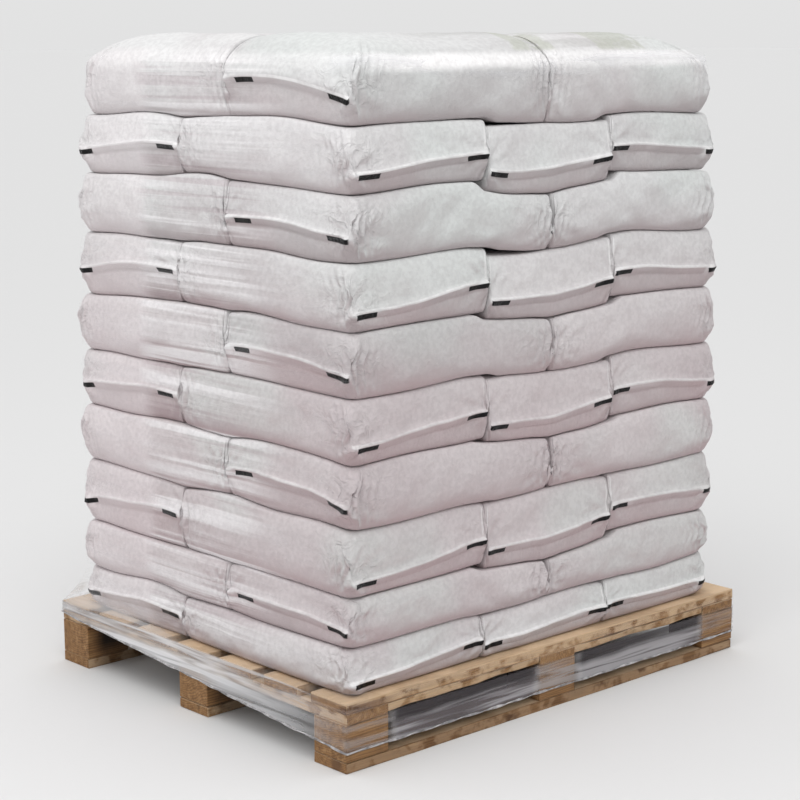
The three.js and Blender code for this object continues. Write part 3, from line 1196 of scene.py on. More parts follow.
def crumpled(sack, x, y, above, ends):
    """How creased the plastic is: most near the ends of the sealed edges."""
    half_x, half_y = sack["half"]
    away = np.hypot(half_x - np.abs(x), half_y - np.abs(y))
    near = np.exp(-((away / CRUMPLE_REACH) ** 2))
    near = near * np.exp(-((above - CRUMPLE_ABOVE) / CRUMPLE_HEIGHT) ** 2)
    beyond = sack["open"]
    free_x = np.where(x > 0, beyond[0], beyond[2])
    free_y = np.where(y > 0, beyond[1], beyond[3])
    amount = np.where(free_x & free_y, 1.4, np.where(ends > 0.5, 0.15, 0.9))
    return np.clip(near * amount + CREASED_EVERYWHERE, 0, 1)


def bar_place(sack, x, y, rng):
    """How far each point of an end is from the nearer of the end's two corners."""
    half_x, half_y = sack["half"]
    position, half = (y, half_y) if sack["lengthwise"] else (x, half_x)
    shift = rng.uniform(*BAR_SHIFTS)
    if not sack["lengthwise"] and sack["column"] == 0:
        shift = NEAR_BAR_SHIFT
    low = position + half - shift
    high = half - position
    if sack["lengthwise"]:
        shifts = LONG_BAR_SHIFTS[sack["row"]]
        low, high = low - shifts[0], high - shifts[1]
    if sack["lengthwise"] and sack["row"] == "front":
        low = low * LONG_BAR_SHARE
    return np.minimum(low, high)


print("bars start", BAR_SHIFTS[0], "to", NEAR_BAR_SHIFT, "m from a corner")

# %% [markdown]
# Here the steps come together. The rings round the sack get their places, levels
# and unevenness. Further rings, each smaller than the one before, cover the
# underside and the top as far as the small openings in their middle.

# %% Rings of a sack
def cap(sack, x, y, share, drops, side):
    """A ring that lies on the underside or the top, nearer the middle."""
    middle_x = (x.max() + x.min()) / 2
    middle_y = (y.max() + y.min()) / 2
    new_x = middle_x + (x - middle_x) * share
    new_y = middle_y + (y - middle_y) * share
    return np.stack((new_x, new_y, levels(sack, new_x, new_y, drops)[side]), -1)


def sack_rings(sack):
    """All the rings of a sack, from under its middle to over its middle, and their marks."""
    rng = np.random.default_rng(sack["seed"])
    last = sack["layer"]["number"] == LAYER_COUNT
    hidden_step = TOP_STEP if last else COARSE_STEP
    sides, places, turns = outline(sack["half"], sack["open"], hidden_step)
    heights, insets, ridge, ends, weights = ring_shape(sack, sides, places, turns, rng)
    x, y = plan_points(sack, sides, places, turns, insets)
    drops = rng.uniform(0.1, 1.0, 4) * CORNER_DROP
    bottom, top = levels(sack, x, y, drops)
    z = bottom + (top - bottom) * heights
    widest = LOWER_RINGS - 1
    above = z - (bottom[widest] + (top[widest] - bottom[widest]) * ridge)
    open_sides = (weights * np.array(sack["open"], float)[:, None]).sum(0)
    free = HIDDEN_SHARE + (1 - HIDDEN_SHARE) * open_sides
    out = bulge(sack, x, y, z, heights, sides, places, ends, above, rng) * free
    out += ear(sack, sides, places, ends, above)
    x = x + out * np.cos(turns)
    y = y + out * np.sin(turns)
    if last:
        x, y = wander(sack, x, y)
    along = bar_place(sack, x, y, rng)
    marks = np.stack((along, above, crumpled(sack, x, y, above, ends), ends + 0 * x), -1)
    rings = np.stack((x, y, z), -1)
    shares = TOP_CAP_SHARES if last else CAP_SHARES
    below = [cap(sack, x[0], y[0], share, drops, 0) for share in reversed(CAP_SHARES)]
    over = [cap(sack, x[-1], y[-1], share, drops, 1) for share in shares]
    points = np.concatenate((below, rings, over))
    marks = np.concatenate((marks[:1].repeat(len(below), axis=0), marks,
                            marks[-1:].repeat(len(over), axis=0)))
    return points, marks


points, marks = sack_rings(sacks[0])
print("first sack", points.shape)

# %% [markdown]
# The rings become a mesh. One grid of bmesh is as wide as the outline and as tall
# as the rings. Its points are set ring by ring, the seam is welded, and the small
# openings in the middle of the underside and the top are filled.

# %% Sack mesh
def sack_mesh(name, points, marks, centre, tone):
    """A closed sack from its rings."""
    rings, around = points.shape[:2]
    bm = bmesh.new()
    along_layer = bm.verts.layers.float.new("bar_along")
    height_layer = bm.verts.layers.float.new("bar_height")
    crumple_layer = bm.verts.layers.float.new("crumple")
    end_layer = bm.verts.layers.float.new("end_share")
    tone_layer = bm.verts.layers.float.new("tone")
    bmesh.ops.create_grid(bm, x_segments=around, y_segments=rings - 1, size=1)
    bm.verts.ensure_lookup_table()
    for index, vert in enumerate(bm.verts):
        ring, step = divmod(index, around + 1)
        x, y, z = points[ring, step % around]
        vert.co = (x + centre[0], y + centre[1], z)
        along, height, crumple, end_share = marks[ring, step % around]
        vert[along_layer], vert[height_layer], vert[crumple_layer] = along, height, crumple
        vert[end_layer], vert[tone_layer] = end_share, tone
    bmesh.ops.remove_doubles(bm, verts=bm.verts, dist=1e-6)
    openings = [edge for edge in bm.edges if edge.is_boundary]
    bmesh.ops.holes_fill(bm, edges=openings, sides=0)
    return mesh_from(bm, name)


SACK_TONES = {"sack_10_front_1": 0.88, "sack_06_front_1": 0.86, "sack_08_front_1": 0.95,
              "sack_10_front_2": 1.0, "sack_01_front_1": 1.0, "sack_01_front_2": 1.0}
TONE_RANGE = (0.96, 1.0)
tone_rng = np.random.default_rng(17)


def make_sack(sack):
    """One sack of the load, finished and attached to the root body."""
    points, marks = sack_rings(sack)
    tone = SACK_TONES.get(sack["name"], tone_rng.uniform(*TONE_RANGE))
    mesh = sack_mesh(sack["name"], points, marks, sack["centre"], tone)
    piece = link(sack["name"], mesh)
    piece.data.materials.append(plastic)
    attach(piece, "root")
    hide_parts(f"sack_layer_{sack['layer']['number']:02d}")
    return piece


sack_pieces = [make_sack(sack) for sack in sacks]
triangles = sum(len(piece.data.polygons) * 2 for piece in sack_pieces)
print("sacks", len(sack_pieces), "with about", triangles, "triangles")

# %% [markdown]
# ## Stretch film
# Several turns of thin clear film hold the load. Film under tension bridges every
# hollow: sideways it is almost straight between two bulges, and upwards, across
# the direction it is wound in, it sinks in a little. So the sheet is found in two
# steps. Rays cast inwards find how far out the sacks and the deck stand. Then a
# parabola is rolled over that relief, flat sideways and more curved upwards, and
# the film lies where the parabola touches. One layer of faces is enough for it.

# %% Plan of the film
FILM_SIDE_STEPS = (100, 122)
FILM_CORNER_STEPS = 12
FILM_AROUND = 2 * sum(FILM_SIDE_STEPS) + 4 * FILM_CORNER_STEPS
FILM_ROWS = 88
SKIRT_ROWS = 12
DECK_TOP = 0.144
PALLET_HALF = (0.600, 0.500)
FILM_CORNER = 0.045
FILM_CLEARANCE = 0.0010
FILM_TOP_SHARE = 0.77
FILM_EDGE_FRONT = 0.044
FILM_EDGE_BACK = 0.116
BLOCKS_ALONG_FRONT = ((-0.545, 0.055), (0.0, 0.055), (0.545, 0.055))
FILM_SIDEWAYS_CURVE = 0.5
FILM_UPWARDS_CURVE = 7.0


def film_columns():
    """Each column of the film: its side, place along it, and outward direction."""
    sides, places, ways = [], [], []
    for side in range(4):
        count = FILM_SIDE_STEPS[side % 2]
        for i in range(count + FILM_CORNER_STEPS):
            beyond = max(0, i - count) / FILM_CORNER_STEPS
            turn = (side + beyond) * math.pi / 2
            sides.append(side)
            places.append(min(1, i / count))
            ways.append((math.cos(turn), math.sin(turn)))
    return np.array(sides), np.array(places), np.array(ways)


def film_track(z):
    """The even plan of the load at a height, as one point for each column."""
    middles = [(layer["low"].z + layer["high"].z) / 2 for layer in layers]
    right, back, left, front = (
        np.interp(z, middles, [getattr(layer[end], axis) for layer in layers])
        for end, axis in (("high", "x"), ("high", "y"), ("low", "x"), ("low", "y")))
    inner = np.array([(right, front), (right, back), (left, back), (left, front)])
    inner += np.array([(-1, 1), (-1, -1), (1, -1), (1, 1)]) * FILM_CORNER
    start, end = inner[column_side], inner[(column_side + 1) % 4]
    middle = start + (end - start) * column_place[:, None]
    return middle + outward * FILM_CORNER


column_side, column_place, outward = film_columns()
film_girth = np.linalg.norm(np.diff(film_track(0.7), axis=0), axis=1).sum()
print("film columns", FILM_AROUND, "girth", round(film_girth, 3), "m")

# %% [markdown]
# The relief is read by casting a ray inwards at every place of the film. A search
# tree over all the sacks answers each ray at once.

# %% Relief of the load
RAY_START = 0.10
RAY_LENGTH = 0.45
NO_RELIEF = -0.20


def load_tree():
    """One search tree over all the sacks."""
    points, faces, start = [], [], 0
    for piece in sack_pieces:
        mesh = piece.data
        points.extend(vert.co.copy() for vert in mesh.vertices)
        faces.extend([start + i for i in face.vertices] for face in mesh.polygons)
        start += len(mesh.vertices)
    return BVHTree.FromPolygons(points, faces)


def film_levels():
    """Heights of the rows of film over the deck."""
    top_layer = layers[-1]
    top = top_layer["low"].z + (top_layer["high"].z - top_layer["low"].z) * FILM_TOP_SHARE
    return DECK_TOP + (top - DECK_TOP) * np.linspace(0, 1, FILM_ROWS)


def reach_to_pallet(track):
    """How far the pallet's edge is from each column, in the column's direction."""
    with np.errstate(divide="ignore"):
        reach = (np.sign(outward) * np.array(PALLET_HALF) - track) / outward
    reach[np.abs(outward) < 1e-6] = np.inf
    return reach.min(axis=1)


def read_relief(tree, rows):
    """How far out the load stands at each place, against its even plan."""
    relief = np.full((len(rows), FILM_AROUND), NO_RELIEF)
    for row, z in enumerate(rows):
        track = film_track(z)
        for i in range(FILM_AROUND):
            start = Vector((*(track[i] + outward[i] * RAY_START), z))
            hit = tree.ray_cast(start, Vector((*-outward[i], 0)), RAY_LENGTH)
            if hit[0] is not None:
                relief[row, i] = RAY_START - hit[3]
    relief[0] = reach_to_pallet(film_track(rows[0]))
    return relief


rows = film_levels()
relief = read_relief(load_tree(), rows)
print("relief from", round(relief.min(), 3), "to", round(relief.max(), 3), "m")

# %% [markdown]
# To roll a parabola over a relief, it is first laid on every point and the highest
# of them is kept. Then it is turned over and laid under every point of that, and
# the lowest is kept. What it can't reach into stays filled.

# %% Rolling a parabola over the relief
SIDEWAYS_WINDOW = 40
UPWARDS_WINDOW = 14


def roll_over(field, axis, step, curve, window):
    """Fills the hollows of a relief as a parabola rolled over it would."""
    def shifted(values, by):
        if axis == 1:
            return np.roll(values, by, axis=1)
        index = np.clip(np.arange(len(values)) - by, 0, len(values) - 1)
        return values[index]

    raised = field.copy()
    for by in range(-window, window + 1):
        raised = np.maximum(raised, shifted(field, by) - curve * (by * step) ** 2)
    filled = raised.copy()
    for by in range(-window, window + 1):
        filled = np.minimum(filled, shifted(raised, by) + curve * (by * step) ** 2)
    return filled


def film_offsets(relief, rows):
    """Where the film lies, out from the pallet's edge."""
    around_step = film_girth / FILM_AROUND
    row_step = rows[1] - rows[0]
    level = roll_over(relief, 1, around_step, FILM_SIDEWAYS_CURVE, SIDEWAYS_WINDOW)
    level = roll_over(level, 0, row_step, FILM_UPWARDS_CURVE, UPWARDS_WINDOW)
    padded = np.vstack((level[:1], level, level[-1:]))
    level = np.maximum(level, (padded[:-2] + padded[1:-1] * 2 + padded[2:]) / 4)
    return level + FILM_CLEARANCE


offsets = film_offsets(relief, rows)
print("film from", round(offsets.min(), 3), "to", round(offsets.max(), 3), "m")

# %% [markdown]
# Under the deck the film hangs as a skirt over the blocks. Its lower edge has
# roped itself into a thick strand, which climbs from the front of the pallet to
# the back. The rows of the skirt lead down to that edge.

# %% Film mesh
RIPPLE = 0.0006
FILM_SCALLOP = 0.012
SCALLOP_WAVES = (7.2, 6.0, 5.4)
SMALL_SCALLOP = (0.2, 31)
SKIRT_RIPPLE = 0.0012
FREE_OF_BLOCK = 0.024


def edge_height(y):
    """How high the film's lower edge is at each place from front to back."""
    share = np.clip((y + PALLET_HALF[1]) / (2 * PALLET_HALF[1]), 0, 1)
    return FILM_EDGE_FRONT + (FILM_EDGE_BACK - FILM_EDGE_FRONT) * share


def film_points():
    """The points of the film, row over row."""
    ripples = wave_field(21, 0.09)
    gathers = wave_field(22, 0.12)
    found = []
    track = film_track(DECK_TOP)
    at_deck = track + outward * reach_to_pallet(track)[:, None]
    for corner_x in (-PALLET_HALF[0], PALLET_HALF[0]):
        for corner_y in (-PALLET_HALF[1], PALLET_HALF[1]):
            away = np.linalg.norm(at_deck - (corner_x, corner_y), axis=1)
            at_deck[np.argmin(away)] = (corner_x, corner_y)
    for i in range(SKIRT_ROWS):
        down = 1 - i / SKIRT_ROWS
        z = DECK_TOP - 0.001 + (edge_height(at_deck[:, 1]) - DECK_TOP) * down
        spot = np.column_stack((at_deck, z * 6))
        out = FILM_CLEARANCE + SKIRT_RIPPLE * down * np.clip(1 + gathers(spot), 0, 2)
        plan = at_deck + outward * out[:, None]
        found.append(np.column_stack((plan, z)))
    for row, z in enumerate(rows):
        track = film_track(z)
        spot = np.column_stack((track * 0.25, np.full(FILM_AROUND, z)))
        out = offsets[row] + RIPPLE * np.maximum(ripples(spot), -0.5)
        plan = track + outward * out[:, None]
        above = max(0, (z - layers[-1]["low"].z) / (rows[-1] - layers[-1]["low"].z))
        along_x, along_y, phase = SCALLOP_WAVES
        wave = 1 + np.sin(track[:, 0] * along_x + track[:, 1] * along_y + phase)
        wave += SMALL_SCALLOP[0] * np.sin(track[:, 0] * SMALL_SCALLOP[1])
        scallop = FILM_SCALLOP * above ** 2 * wave
        found.append(np.column_stack((plan, z - scallop)))
    return np.array(found)


def hangs_free(x):
    """Whether a place on the front of the pallet is clear of its three blocks."""
    gaps = [abs(x - middle) - half for middle, half in BLOCKS_ALONG_FRONT]
    return max(0.0, min(1.0, min(gaps) / FREE_OF_BLOCK))


def wrap_mesh(name, rings):
    """A sheet that closes on itself sideways, from its rings."""
    count, around = rings.shape[:2]
    bm = bmesh.new()
    top_layer = bm.verts.layers.float.new("from_top")
    free_layer = bm.verts.layers.float.new("hangs_free")
    bmesh.ops.create_grid(bm, x_segments=around, y_segments=count - 1, size=1)
    bm.verts.ensure_lookup_table()
    for index, vert in enumerate(bm.verts):
        ring, step = divmod(index, around + 1)
        vert.co = rings[ring, step % around]
        vert[top_layer] = rings[-1, step % around, 2] - vert.co.z
        vert[free_layer] = hangs_free(vert.co.x)
    bmesh.ops.remove_doubles(bm, verts=bm.verts, dist=1e-7)
    return mesh_from(bm, name)


film_grid = film_points()
film = link("wrap_film", wrap_mesh("wrap_film", film_grid))
print("film faces", len(film.data.polygons))

# %% [markdown]
# Clear film shows by its shine and by its folds, not by a colour of its own. Where
# turns overlap it turns milky. So the film is a glossy surface with no alpha where
# it lies tight. The alpha rises at its upper edge, in the creases and at the foot
# of the left side, and in the torn streaks of the skirt. Under the deck the front
# of the skirt hangs free between the blocks, in shade, and is painted grey and dark
# there as painted shade.

# %% Film finish
FILM_WHITE = (0.84, 0.84, 0.86, 1.0)
SKIRT_SHADE_GREY = (0.132, 0.114, 0.124, 1.0)
FILM_SHADED = (0.020, 0.014, 0.018, 1.0)
FILM_ON_BLOCK = (0.50, 0.47, 0.47, 1.0)
FILM_CREASE = 0.06
CREASE_SHOWS = (0.47, 0.66)
FILM_SKIRT = 0.90
FILM_FOOT = 0.40
FILM_TOP_EDGE = 0.34
FILM_GLOSS = 0.16
TORN_SCALES = (2.6, 2.6, 64.0)
STRAIN_SCALES = (3.0, 3.0, 90.0)
STRAIN_DEPTH = 0.004
FRONT_FACE = (-0.485, -0.498)
FRONT_RIM = (-0.40, -0.44)
UNDER_DECK = (0.122, 0.118)
SHADE_WANDER = (0.02, 7.0, 1.0)
SHADE_HEIGHT = (0.070, 0.089)
FOOT_ABOVE = (0.1435, 0.1445)
FOOT_TOP = (0.215, 0.150)
FOOT_PLACE = (-0.05, 0.25)


def film_rim(finish, y):
    """How milky the film's upper edge is over the front of the load."""
    from_top = finish.attribute("from_top")
    rim = from_top.ramp(0.040, 0.010) * from_top.ramp(0.0, 0.009) * y.ramp(*FRONT_RIM)
    return rim * finish.noise(finish.place(), 5.0, 1.0).ramp(0.22, 0.40)


def film_skirt(finish, torn):
    """How milky the film is over the deck's edge and below it."""
    x, y, z = finish.axes()
    front = y.ramp(*FRONT_FACE)
    loose = finish.attribute("hangs_free")
    hanging = loose * z.ramp(0.1065, 0.1015) * (0.78 + 0.22 * torn.highest(z.ramp(0.085, 0.095)))
    on_block = (1 - loose) * torn * z.ramp(0.110, 0.090) * x.ramp(-0.50, -0.40, 0.30, 0.62)
    on_block = on_block * x.ramp(-0.15, 0.45, 1.0, 0.40)
    in_front = front * (hanging + on_block + 0.04 * torn)
    over_edge = (0.12 + 0.35 * torn) * y.ramp(-0.47, -0.28, 0.15, 1.0)
    over_edge = over_edge + y.ramp(-0.25, 0.05) * (0.20 + 0.12 * torn)
    under_edge = (0.40 + 0.50 * torn) * y.ramp(-0.62, 0.0)
    beside = over_edge + (under_edge - over_edge) * z.ramp(0.122, 0.116)
    return z.ramp(0.146, 0.140) * (in_front + (1 - front) * beside)


def film_finish():
    """Thin clear film with milky streaks, painted dark grey as shade where it hangs free under the
    deck.
    """
    finish = Finish("stretch_film")
    x, y, z = finish.axes()
    torn = finish.streaks(TORN_SCALES, 2.0, 0.6, 0.5).ramp(0.38, 0.58)
    left = x.ramp(*LEFT_SIDE)
    creased = left * film_creases(finish).ramp(*CREASE_SHOWS)
    foot = left * z.ramp(*FOOT_TOP) * z.ramp(*FOOT_ABOVE) * y.ramp(*FOOT_PLACE)
    foot = foot * (torn * 0.6 + 0.4)
    alpha = creased * FILM_CREASE + film_rim(finish, y) * FILM_TOP_EDGE
    alpha = alpha + film_skirt(finish, torn) * FILM_SKIRT + foot * FILM_FOOT
    front_skirt = z.ramp(*UNDER_DECK) * y.ramp(*FRONT_FACE)
    loose = finish.attribute("hangs_free")
    shaded = finish.uneven(z, *SHADE_WANDER).ramp(*SHADE_HEIGHT)
    # Painted shade: where the front of the skirt hangs free under the deck it is dark grey, darkest
    # near the top.
    colour = finish.coats(FILM_WHITE,
                          (front_skirt * (1 - loose), FILM_ON_BLOCK),
                          (front_skirt * loose * (1 - torn * 0.30), SKIRT_SHADE_GREY),
                          (front_skirt * loose * shaded, FILM_SHADED))
    strain = finish.streaks(STRAIN_SCALES, 2.0, 0.6, 0.4)
    normal = finish.relief((strain, STRAIN_DEPTH, 0.6))
    finish.surface(Base_Color=colour, Roughness=FILM_GLOSS, Alpha=alpha, Normal=normal)
    return finish.material


film.data.materials.append(film_finish())
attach(film, "root")
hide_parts("stretch_film")
print("film finish is on")

# %% [markdown]
# The lower edge has rolled itself into two strands that turn round each other.
# Each is a ring of eight sides swept along the edge of the film. A curve with a
# bevel could do that too, but these strands also swell and thin a little, and the
# function that made the sheet of the film can make them as it is.

# %% Roped edge of the film
ROPE_RADIUS = 0.0014
ROPE_SIDES = 8
ROPE_STEPS = 1400
ROPE_TWIST = 30
ROPE_LAY = 0.9
ROPE_SWELLING = 0.35


def rope_rings():
    """Two twisted strands along the lower edge, as rings across the rope."""
    edge = film_grid[0]
    t = np.arange(ROPE_STEPS) / ROPE_STEPS * FILM_AROUND
    before = t.astype(int)
    after = (before + 1) % FILM_AROUND
    share = (t - before)[:, None]
    middle = edge[before] * (1 - share) + edge[after] * share
    way = outward[before] * (1 - share) + outward[after] * share
    thick = ROPE_RADIUS * (1 + ROPE_SWELLING * np.sin(t * 0.61) * np.sin(t * 0.23 + 1))

    def swung(points, angle, reach):
        moved = points.copy()
        moved[:, :2] += way * (np.cos(angle) * reach)[:, None]
        moved[:, 2] += np.sin(angle) * reach
        return moved

    found = []
    for strand in (0, math.pi):
        twist = t / FILM_AROUND * ROPE_TWIST * 2 * math.pi + strand
        centre = swung(middle, twist, np.full(ROPE_STEPS, ROPE_RADIUS * ROPE_LAY))
        ring = [swung(centre, i / ROPE_SIDES * 2 * math.pi, thick) for i in range(ROPE_SIDES)]
        found.append(np.array(ring + ring[:1]))
    return found


def make_rope():
    """The roped edge, as one piece of two strands."""
    bm = bmesh.new()
    for rings in rope_rings():
        mesh = wrap_mesh("strand", rings)
        bm.from_mesh(mesh)
        bpy.data.meshes.remove(mesh)
    bmesh.ops.remove_doubles(bm, verts=bm.verts, dist=1e-6)
    return link("wrap_film_edge", mesh_from(bm, "wrap_film_edge"))


rope = make_rope()
print("rope faces", len(rope.data.polygons))

# %% Rope finish
ROPE_DARK = (0.30, 0.29, 0.30, 1.0)
ROPE_LIGHT = (0.62, 0.61, 0.62, 1.0)
ROPE_GLOSS = 0.25


def rope_finish():
    """Film gathered into a strand: milky and shiny."""
    finish = Finish("roped_film")
    cloudy = finish.noise(finish.place(), 60.0, 3.0)
    colour = finish.mix(cloudy.ramp(0.3, 0.7), ROPE_DARK, ROPE_LIGHT)
    alpha = cloudy.ramp(0.2, 0.8, 0.55, 0.9)
    finish.surface(Base_Color=colour, Roughness=ROPE_GLOSS, Alpha=alpha)
    return finish.material


rope.data.materials.append(rope_finish())
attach(rope, "root")

# %% [markdown]
# ## Pallet
# The pallet is nailed from rough sawn softwood: three bottom boards, nine blocks,
# three stringer boards and seven deck boards. Sawn wood is never quite straight or
# sharp, so each piece is a box from one bmesh operator, cut across into short
# lengths, with its edges broken by a bevel and its points moved a little. Each
# piece also keeps its own coordinates along, across and up, with the end grain
# centred somewhere off the piece, so that one material can draw the grain of all.

# %% Sawn wood
WOOD_BEVEL = 0.0014
WOOD_CUT = 0.06
WOOD_WANDER = 0.0007
WANDER_LENGTH = 0.30
NICK_DEPTH = 0.0012
NICK_LENGTH = 0.045
DEEPEST_NICK = 0.004
PITH_PLACES = ((0, 9), (-0.05, 0.05), (-0.16, -0.03))


def sawn_piece(name, low, high, seed):
    """A sawn piece that fills a box."""
    size = high - low
    middle = (low + high) / 2
    length_axis = max(range(3), key=lambda axis: size[axis])
    if name.startswith("wood_block"):
        length_axis = 0
    bm = bmesh.new()
    bmesh.ops.create_cube(bm, size=1)
    bmesh.ops.scale(bm, vec=size, verts=bm.verts)
    bmesh.ops.bevel(bm, geom=bm.edges[:], offset=WOOD_BEVEL, affect="EDGES", segments=2,
                    profile=0.5, material=-1)
    cuts = max(1, round(size[length_axis] / WOOD_CUT))
    normal = Vector([float(axis == length_axis) for axis in range(3)])
    for i in range(1, cuts):
        spot = normal * size[length_axis] * (i / cuts - 0.5)
        bmesh.ops.bisect_plane(bm, geom=bm.verts[:] + bm.edges[:] + bm.faces[:],
                               dist=1e-6, plane_co=spot, plane_no=normal)
    grain = bm.verts.layers.float_vector.new("grain")
    worn = bm.verts.layers.float.new("worn_and_lit_edge")
    rng = np.random.default_rng(seed)
    pith = Vector([rng.uniform(*reach) for reach in PITH_PLACES])
    waver = wave_field(seed, WANDER_LENGTH)
    nick = wave_field(seed + 1, NICK_LENGTH)
    side_axes = [axis for axis in (1, 2, 0) if axis != length_axis]
    for vert in bm.verts:
        at = np.array(vert.co)
        vert[grain] = pith + Vector((at[length_axis], at[side_axes[0]], at[side_axes[1]]))
        edge_share = min(abs(abs(at[axis]) - size[axis] / 2) < WOOD_BEVEL for axis in side_axes)
        vert[worn] = edge_share
        inward = WOOD_WANDER * (1 + waver(at)) / 2
        inward += edge_share * NICK_DEPTH * (1 + nick(at))
        for axis in side_axes:
            vert.co[axis] -= math.copysign(min(max(inward, 0), DEEPEST_NICK), at[axis])
    bmesh.ops.translate(bm, vec=middle, verts=bm.verts)
    piece = link(name, mesh_from(bm, name))
    piece.data.shade_flat()
    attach(piece, "root")
    return piece


wood_names = [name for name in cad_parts
              if name.split("_")[0] in ("bottom", "block", "stringer", "deck")]
wood_pieces = []
for i, name in enumerate(wood_names):
    low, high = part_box(name)
    wood_pieces.append(sawn_piece(f"wood_{name}", low, high, 100 + i))
    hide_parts(name)
print("wood pieces", len(wood_pieces))

# %% [markdown]
# The front edge of the deck looks thicker than one board. A lath is nailed under
# it between the blocks, so that the forks of a truck don't split the first board.

# %% Laths under the front edge
LATH_BELOW = 0.1040
LATH_ABOVE = 0.1218
LATH_FRONT = -0.4995
LATH_BACK = -0.4780
LATH_ENDS = ((-0.4895, -0.0555), (0.0555, 0.4895))

for i, (start, end) in enumerate(LATH_ENDS):
    low = Vector((start, LATH_FRONT, LATH_BELOW))
    high = Vector((end, LATH_BACK, LATH_ABOVE))
    wood_pieces.append(sawn_piece(f"wood_lath_{i + 1}", low, high, 200 + i))
print("laths", len(LATH_ENDS))

# %% [markdown]
# Softwood has growth rings. Along a board they show as long drawn-out lines, and
# on its sawn ends as arcs. Rings are the distance from the pith, so one formula
# in the piece's own coordinates draws both. Dark streaks, knots, saw marks and
# dirt come on top. Edges are worn pale and carry a painted highlight, upper faces
# are painted lighter as painted light, and under the deck the wood is painted
# darker the further in it lies, as painted shade.

# %% Grain of the wood
WOOD_LIGHT = (0.265, 0.132, 0.044, 1.0)
WOOD_DARK = (0.105, 0.043, 0.013, 1.0)
WOOD_PALE = (0.47, 0.285, 0.135, 1.0)
WOOD_KNOT = (0.12, 0.055, 0.022, 1.0)
WOOD_DIRT = (0.022, 0.012, 0.007, 1.0)
RING_SPACING = 190.0
RING_WOBBLE = (0.030, 0.02)
WOBBLE_SCALES = (1.6, 9, 9)
FIBRE_SCALES = (14, 420, 420)
STREAK_SCALES = (3.5, 95, 95)
KNOT_SCALES = (5.0, 9, 9)
SAW_SCALES = (380, 20, 20)


def wood_rings(finish, own):
    """How far through its year the wood grew: 0 to 1 across each ring."""
    wobble = finish.noise(finish.stretch(own, WOBBLE_SCALES), 2.0, 3.0) - 0.5
    _, across, up = finish.axes(own)
    across = across + wobble * RING_WOBBLE[0]
    up = up + wobble * RING_WOBBLE[1]
    from_pith = (across * across + up * up) ** 0.5
    return (from_pith * RING_SPACING).fraction().ramp(0.30, 0.95)


def grain_coats(finish, own, late, fibre, broad):
    """The colour of clean and stained wood, with its rings, streaks and knots."""
    streak = finish.noise(finish.stretch(own, STREAK_SCALES), 1.0, 3.0, 0.6)
    from_knot = finish.node("ShaderNodeTexVoronoi", {"feature": "F1"},
                            {"Vector": finish.stretch(own, KNOT_SCALES), "Scale": 1.0,
                             "Randomness": 1.0})
    stains = finish.noise(own, 16.0, 4.0, 0.65).ramp(0.54, 0.76)
    return finish.coats(WOOD_LIGHT,
                        (late * 0.75, WOOD_DARK),
                        (fibre.ramp(0.35, 0.75) * 0.35, WOOD_PALE),
                        (streak.ramp(0.50, 0.72) * 0.75, WOOD_DARK),
                        (streak.ramp(0.48, 0.30) * 0.45, WOOD_PALE),
                        (broad.ramp(0.46, 0.80) * 0.5, WOOD_PALE),
                        (from_knot.ramp(0.20, 0.09) * 0.8, WOOD_KNOT),
                        (stains * 0.42, WOOD_DIRT))


print("growth rings", round(1000 / RING_SPACING, 1), "mm apart")

# %% Wear, painted light and shade, and the whole finish
WOOD_WORN_AND_LIT = (0.80, 0.60, 0.40, 1.0)
WOOD_PAINTED_SHADE = (0.05, 0.04, 0.035, 1.0)
CORNER_DARKENING = (0.50, 0.41, 0.35, 1.0)
WOOD_TRODDEN = (0.58, 0.52, 0.46, 1.0)
LIT_DECK_TOP = (0.1375, 0.1420)
DARKER_CORNER = ((-0.45, -0.53), (-0.47, -0.49))
DARKER_CORNER_HEIGHT = ((0.1375, 0.1340), (0.117, 0.123))
TRODDEN_FACE = (-0.494, -0.498)
TRODDEN_HEIGHT = (0.026, 0.021)
SHADE_INWARD = (0.004, 0.050)
SHADE_BELOW_DECK = (0.1225, 0.1215)
SHADE_RISE = (0.024, 0.060, 0.45, 1.0)
WOOD_ROUGHNESS = (0.70, 0.90)


def painted_shade_under_deck(finish):
    """Painted shade under the deck: the further in from the pallet's outer faces, the darker."""
    x, y, z = finish.axes()
    inward = (PALLET_HALF[0] - abs(x)).lowest(PALLET_HALF[1] - abs(y))
    return inward.ramp(*SHADE_INWARD) * z.ramp(*SHADE_BELOW_DECK) * z.ramp(*SHADE_RISE)


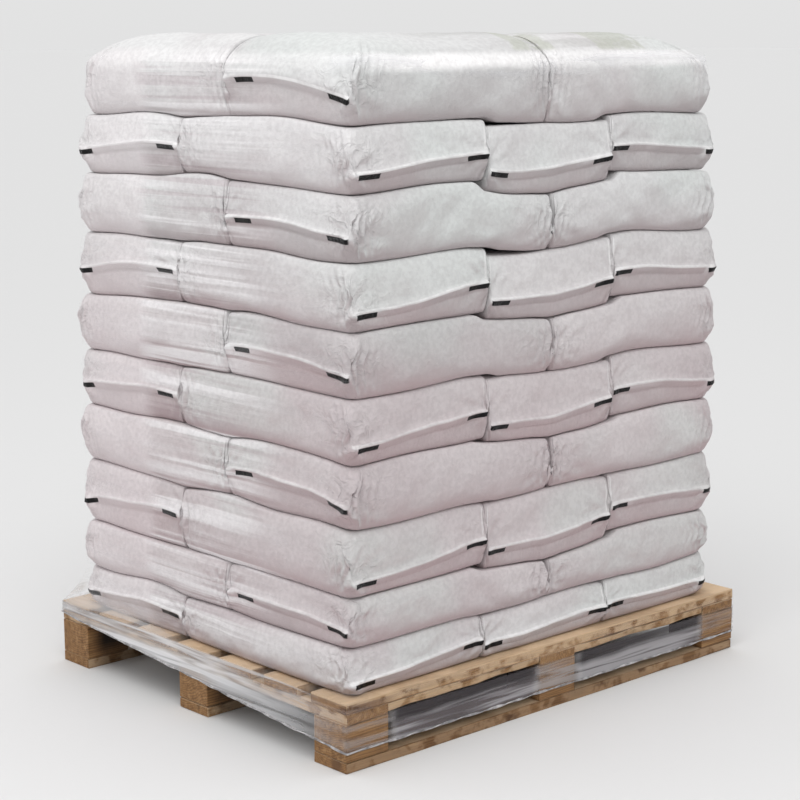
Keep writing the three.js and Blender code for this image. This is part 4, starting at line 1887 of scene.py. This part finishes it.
def wear_coats(finish, colour, own, broad):
    """Wood worn pale with a painted highlight on its edges, painted lighter on its upper faces,
    darker at the deck's near corner, dark where it is trodden, and painted dark as shade under the
    deck.
    """
    x, y, z = finish.axes()
    _, _, upward = finish.facing()
    # Pale edges are wear with a painted highlight; upper faces and the deck's top strip are painted
    # lighter as painted light.
    edge = finish.attribute("worn_and_lit_edge") * finish.noise(own, 30.0, 3.0).ramp(0.35, 0.55)
    edge = (edge * 0.6).highest(upward.ramp(0.5, 0.9) * (0.40 + 0.60 * broad.ramp(0.40, 0.60)))
    edge = edge.highest(z.ramp(*LIT_DECK_TOP) * 0.75)
    # Darker at the front of the deck's near corner.
    stained = x.ramp(*DARKER_CORNER[0]) * y.ramp(*DARKER_CORNER[1])
    stained = stained * z.ramp(*DARKER_CORNER_HEIGHT[0]) * z.ramp(*DARKER_CORNER_HEIGHT[1])
    trodden = y.ramp(*TRODDEN_FACE) * z.ramp(*TRODDEN_HEIGHT)
    return finish.coats(colour,
                        (edge * 0.75, WOOD_WORN_AND_LIT),
                        (stained, CORNER_DARKENING, "MULTIPLY"),
                        (trodden, WOOD_TRODDEN, "MULTIPLY"),
                        (painted_shade_under_deck(finish), WOOD_PAINTED_SHADE, "MULTIPLY"))


def wood_finish():
    """Rough sawn softwood, with its rings round a pith off the piece."""
    finish = Finish("pallet_wood")
    own = finish.attribute("grain", "Vector")
    late = wood_rings(finish, own)
    fibre = finish.noise(finish.stretch(own, FIBRE_SCALES), 1.0, 4.0, 0.6)
    broad = finish.noise(own, 5.0, 4.0, 0.6)
    colour = grain_coats(finish, own, late, fibre, broad)
    colour = wear_coats(finish, colour, own, broad)
    saw = finish.noise(finish.stretch(own, SAW_SCALES), 1.0, 2.0)
    normal = finish.relief((fibre, 0.0016, 0.8), (saw, 0.0010, 0.5), (late, 0.0005, 0.5))
    roughness = fibre.ramp(0.3, 0.8, *WOOD_ROUGHNESS)
    finish.surface(Base_Color=colour, Roughness=roughness, Normal=normal)
    return finish.material


wood = wood_finish()
for piece in wood_pieces:
    piece.data.materials.append(wood)
print("wood is finished")
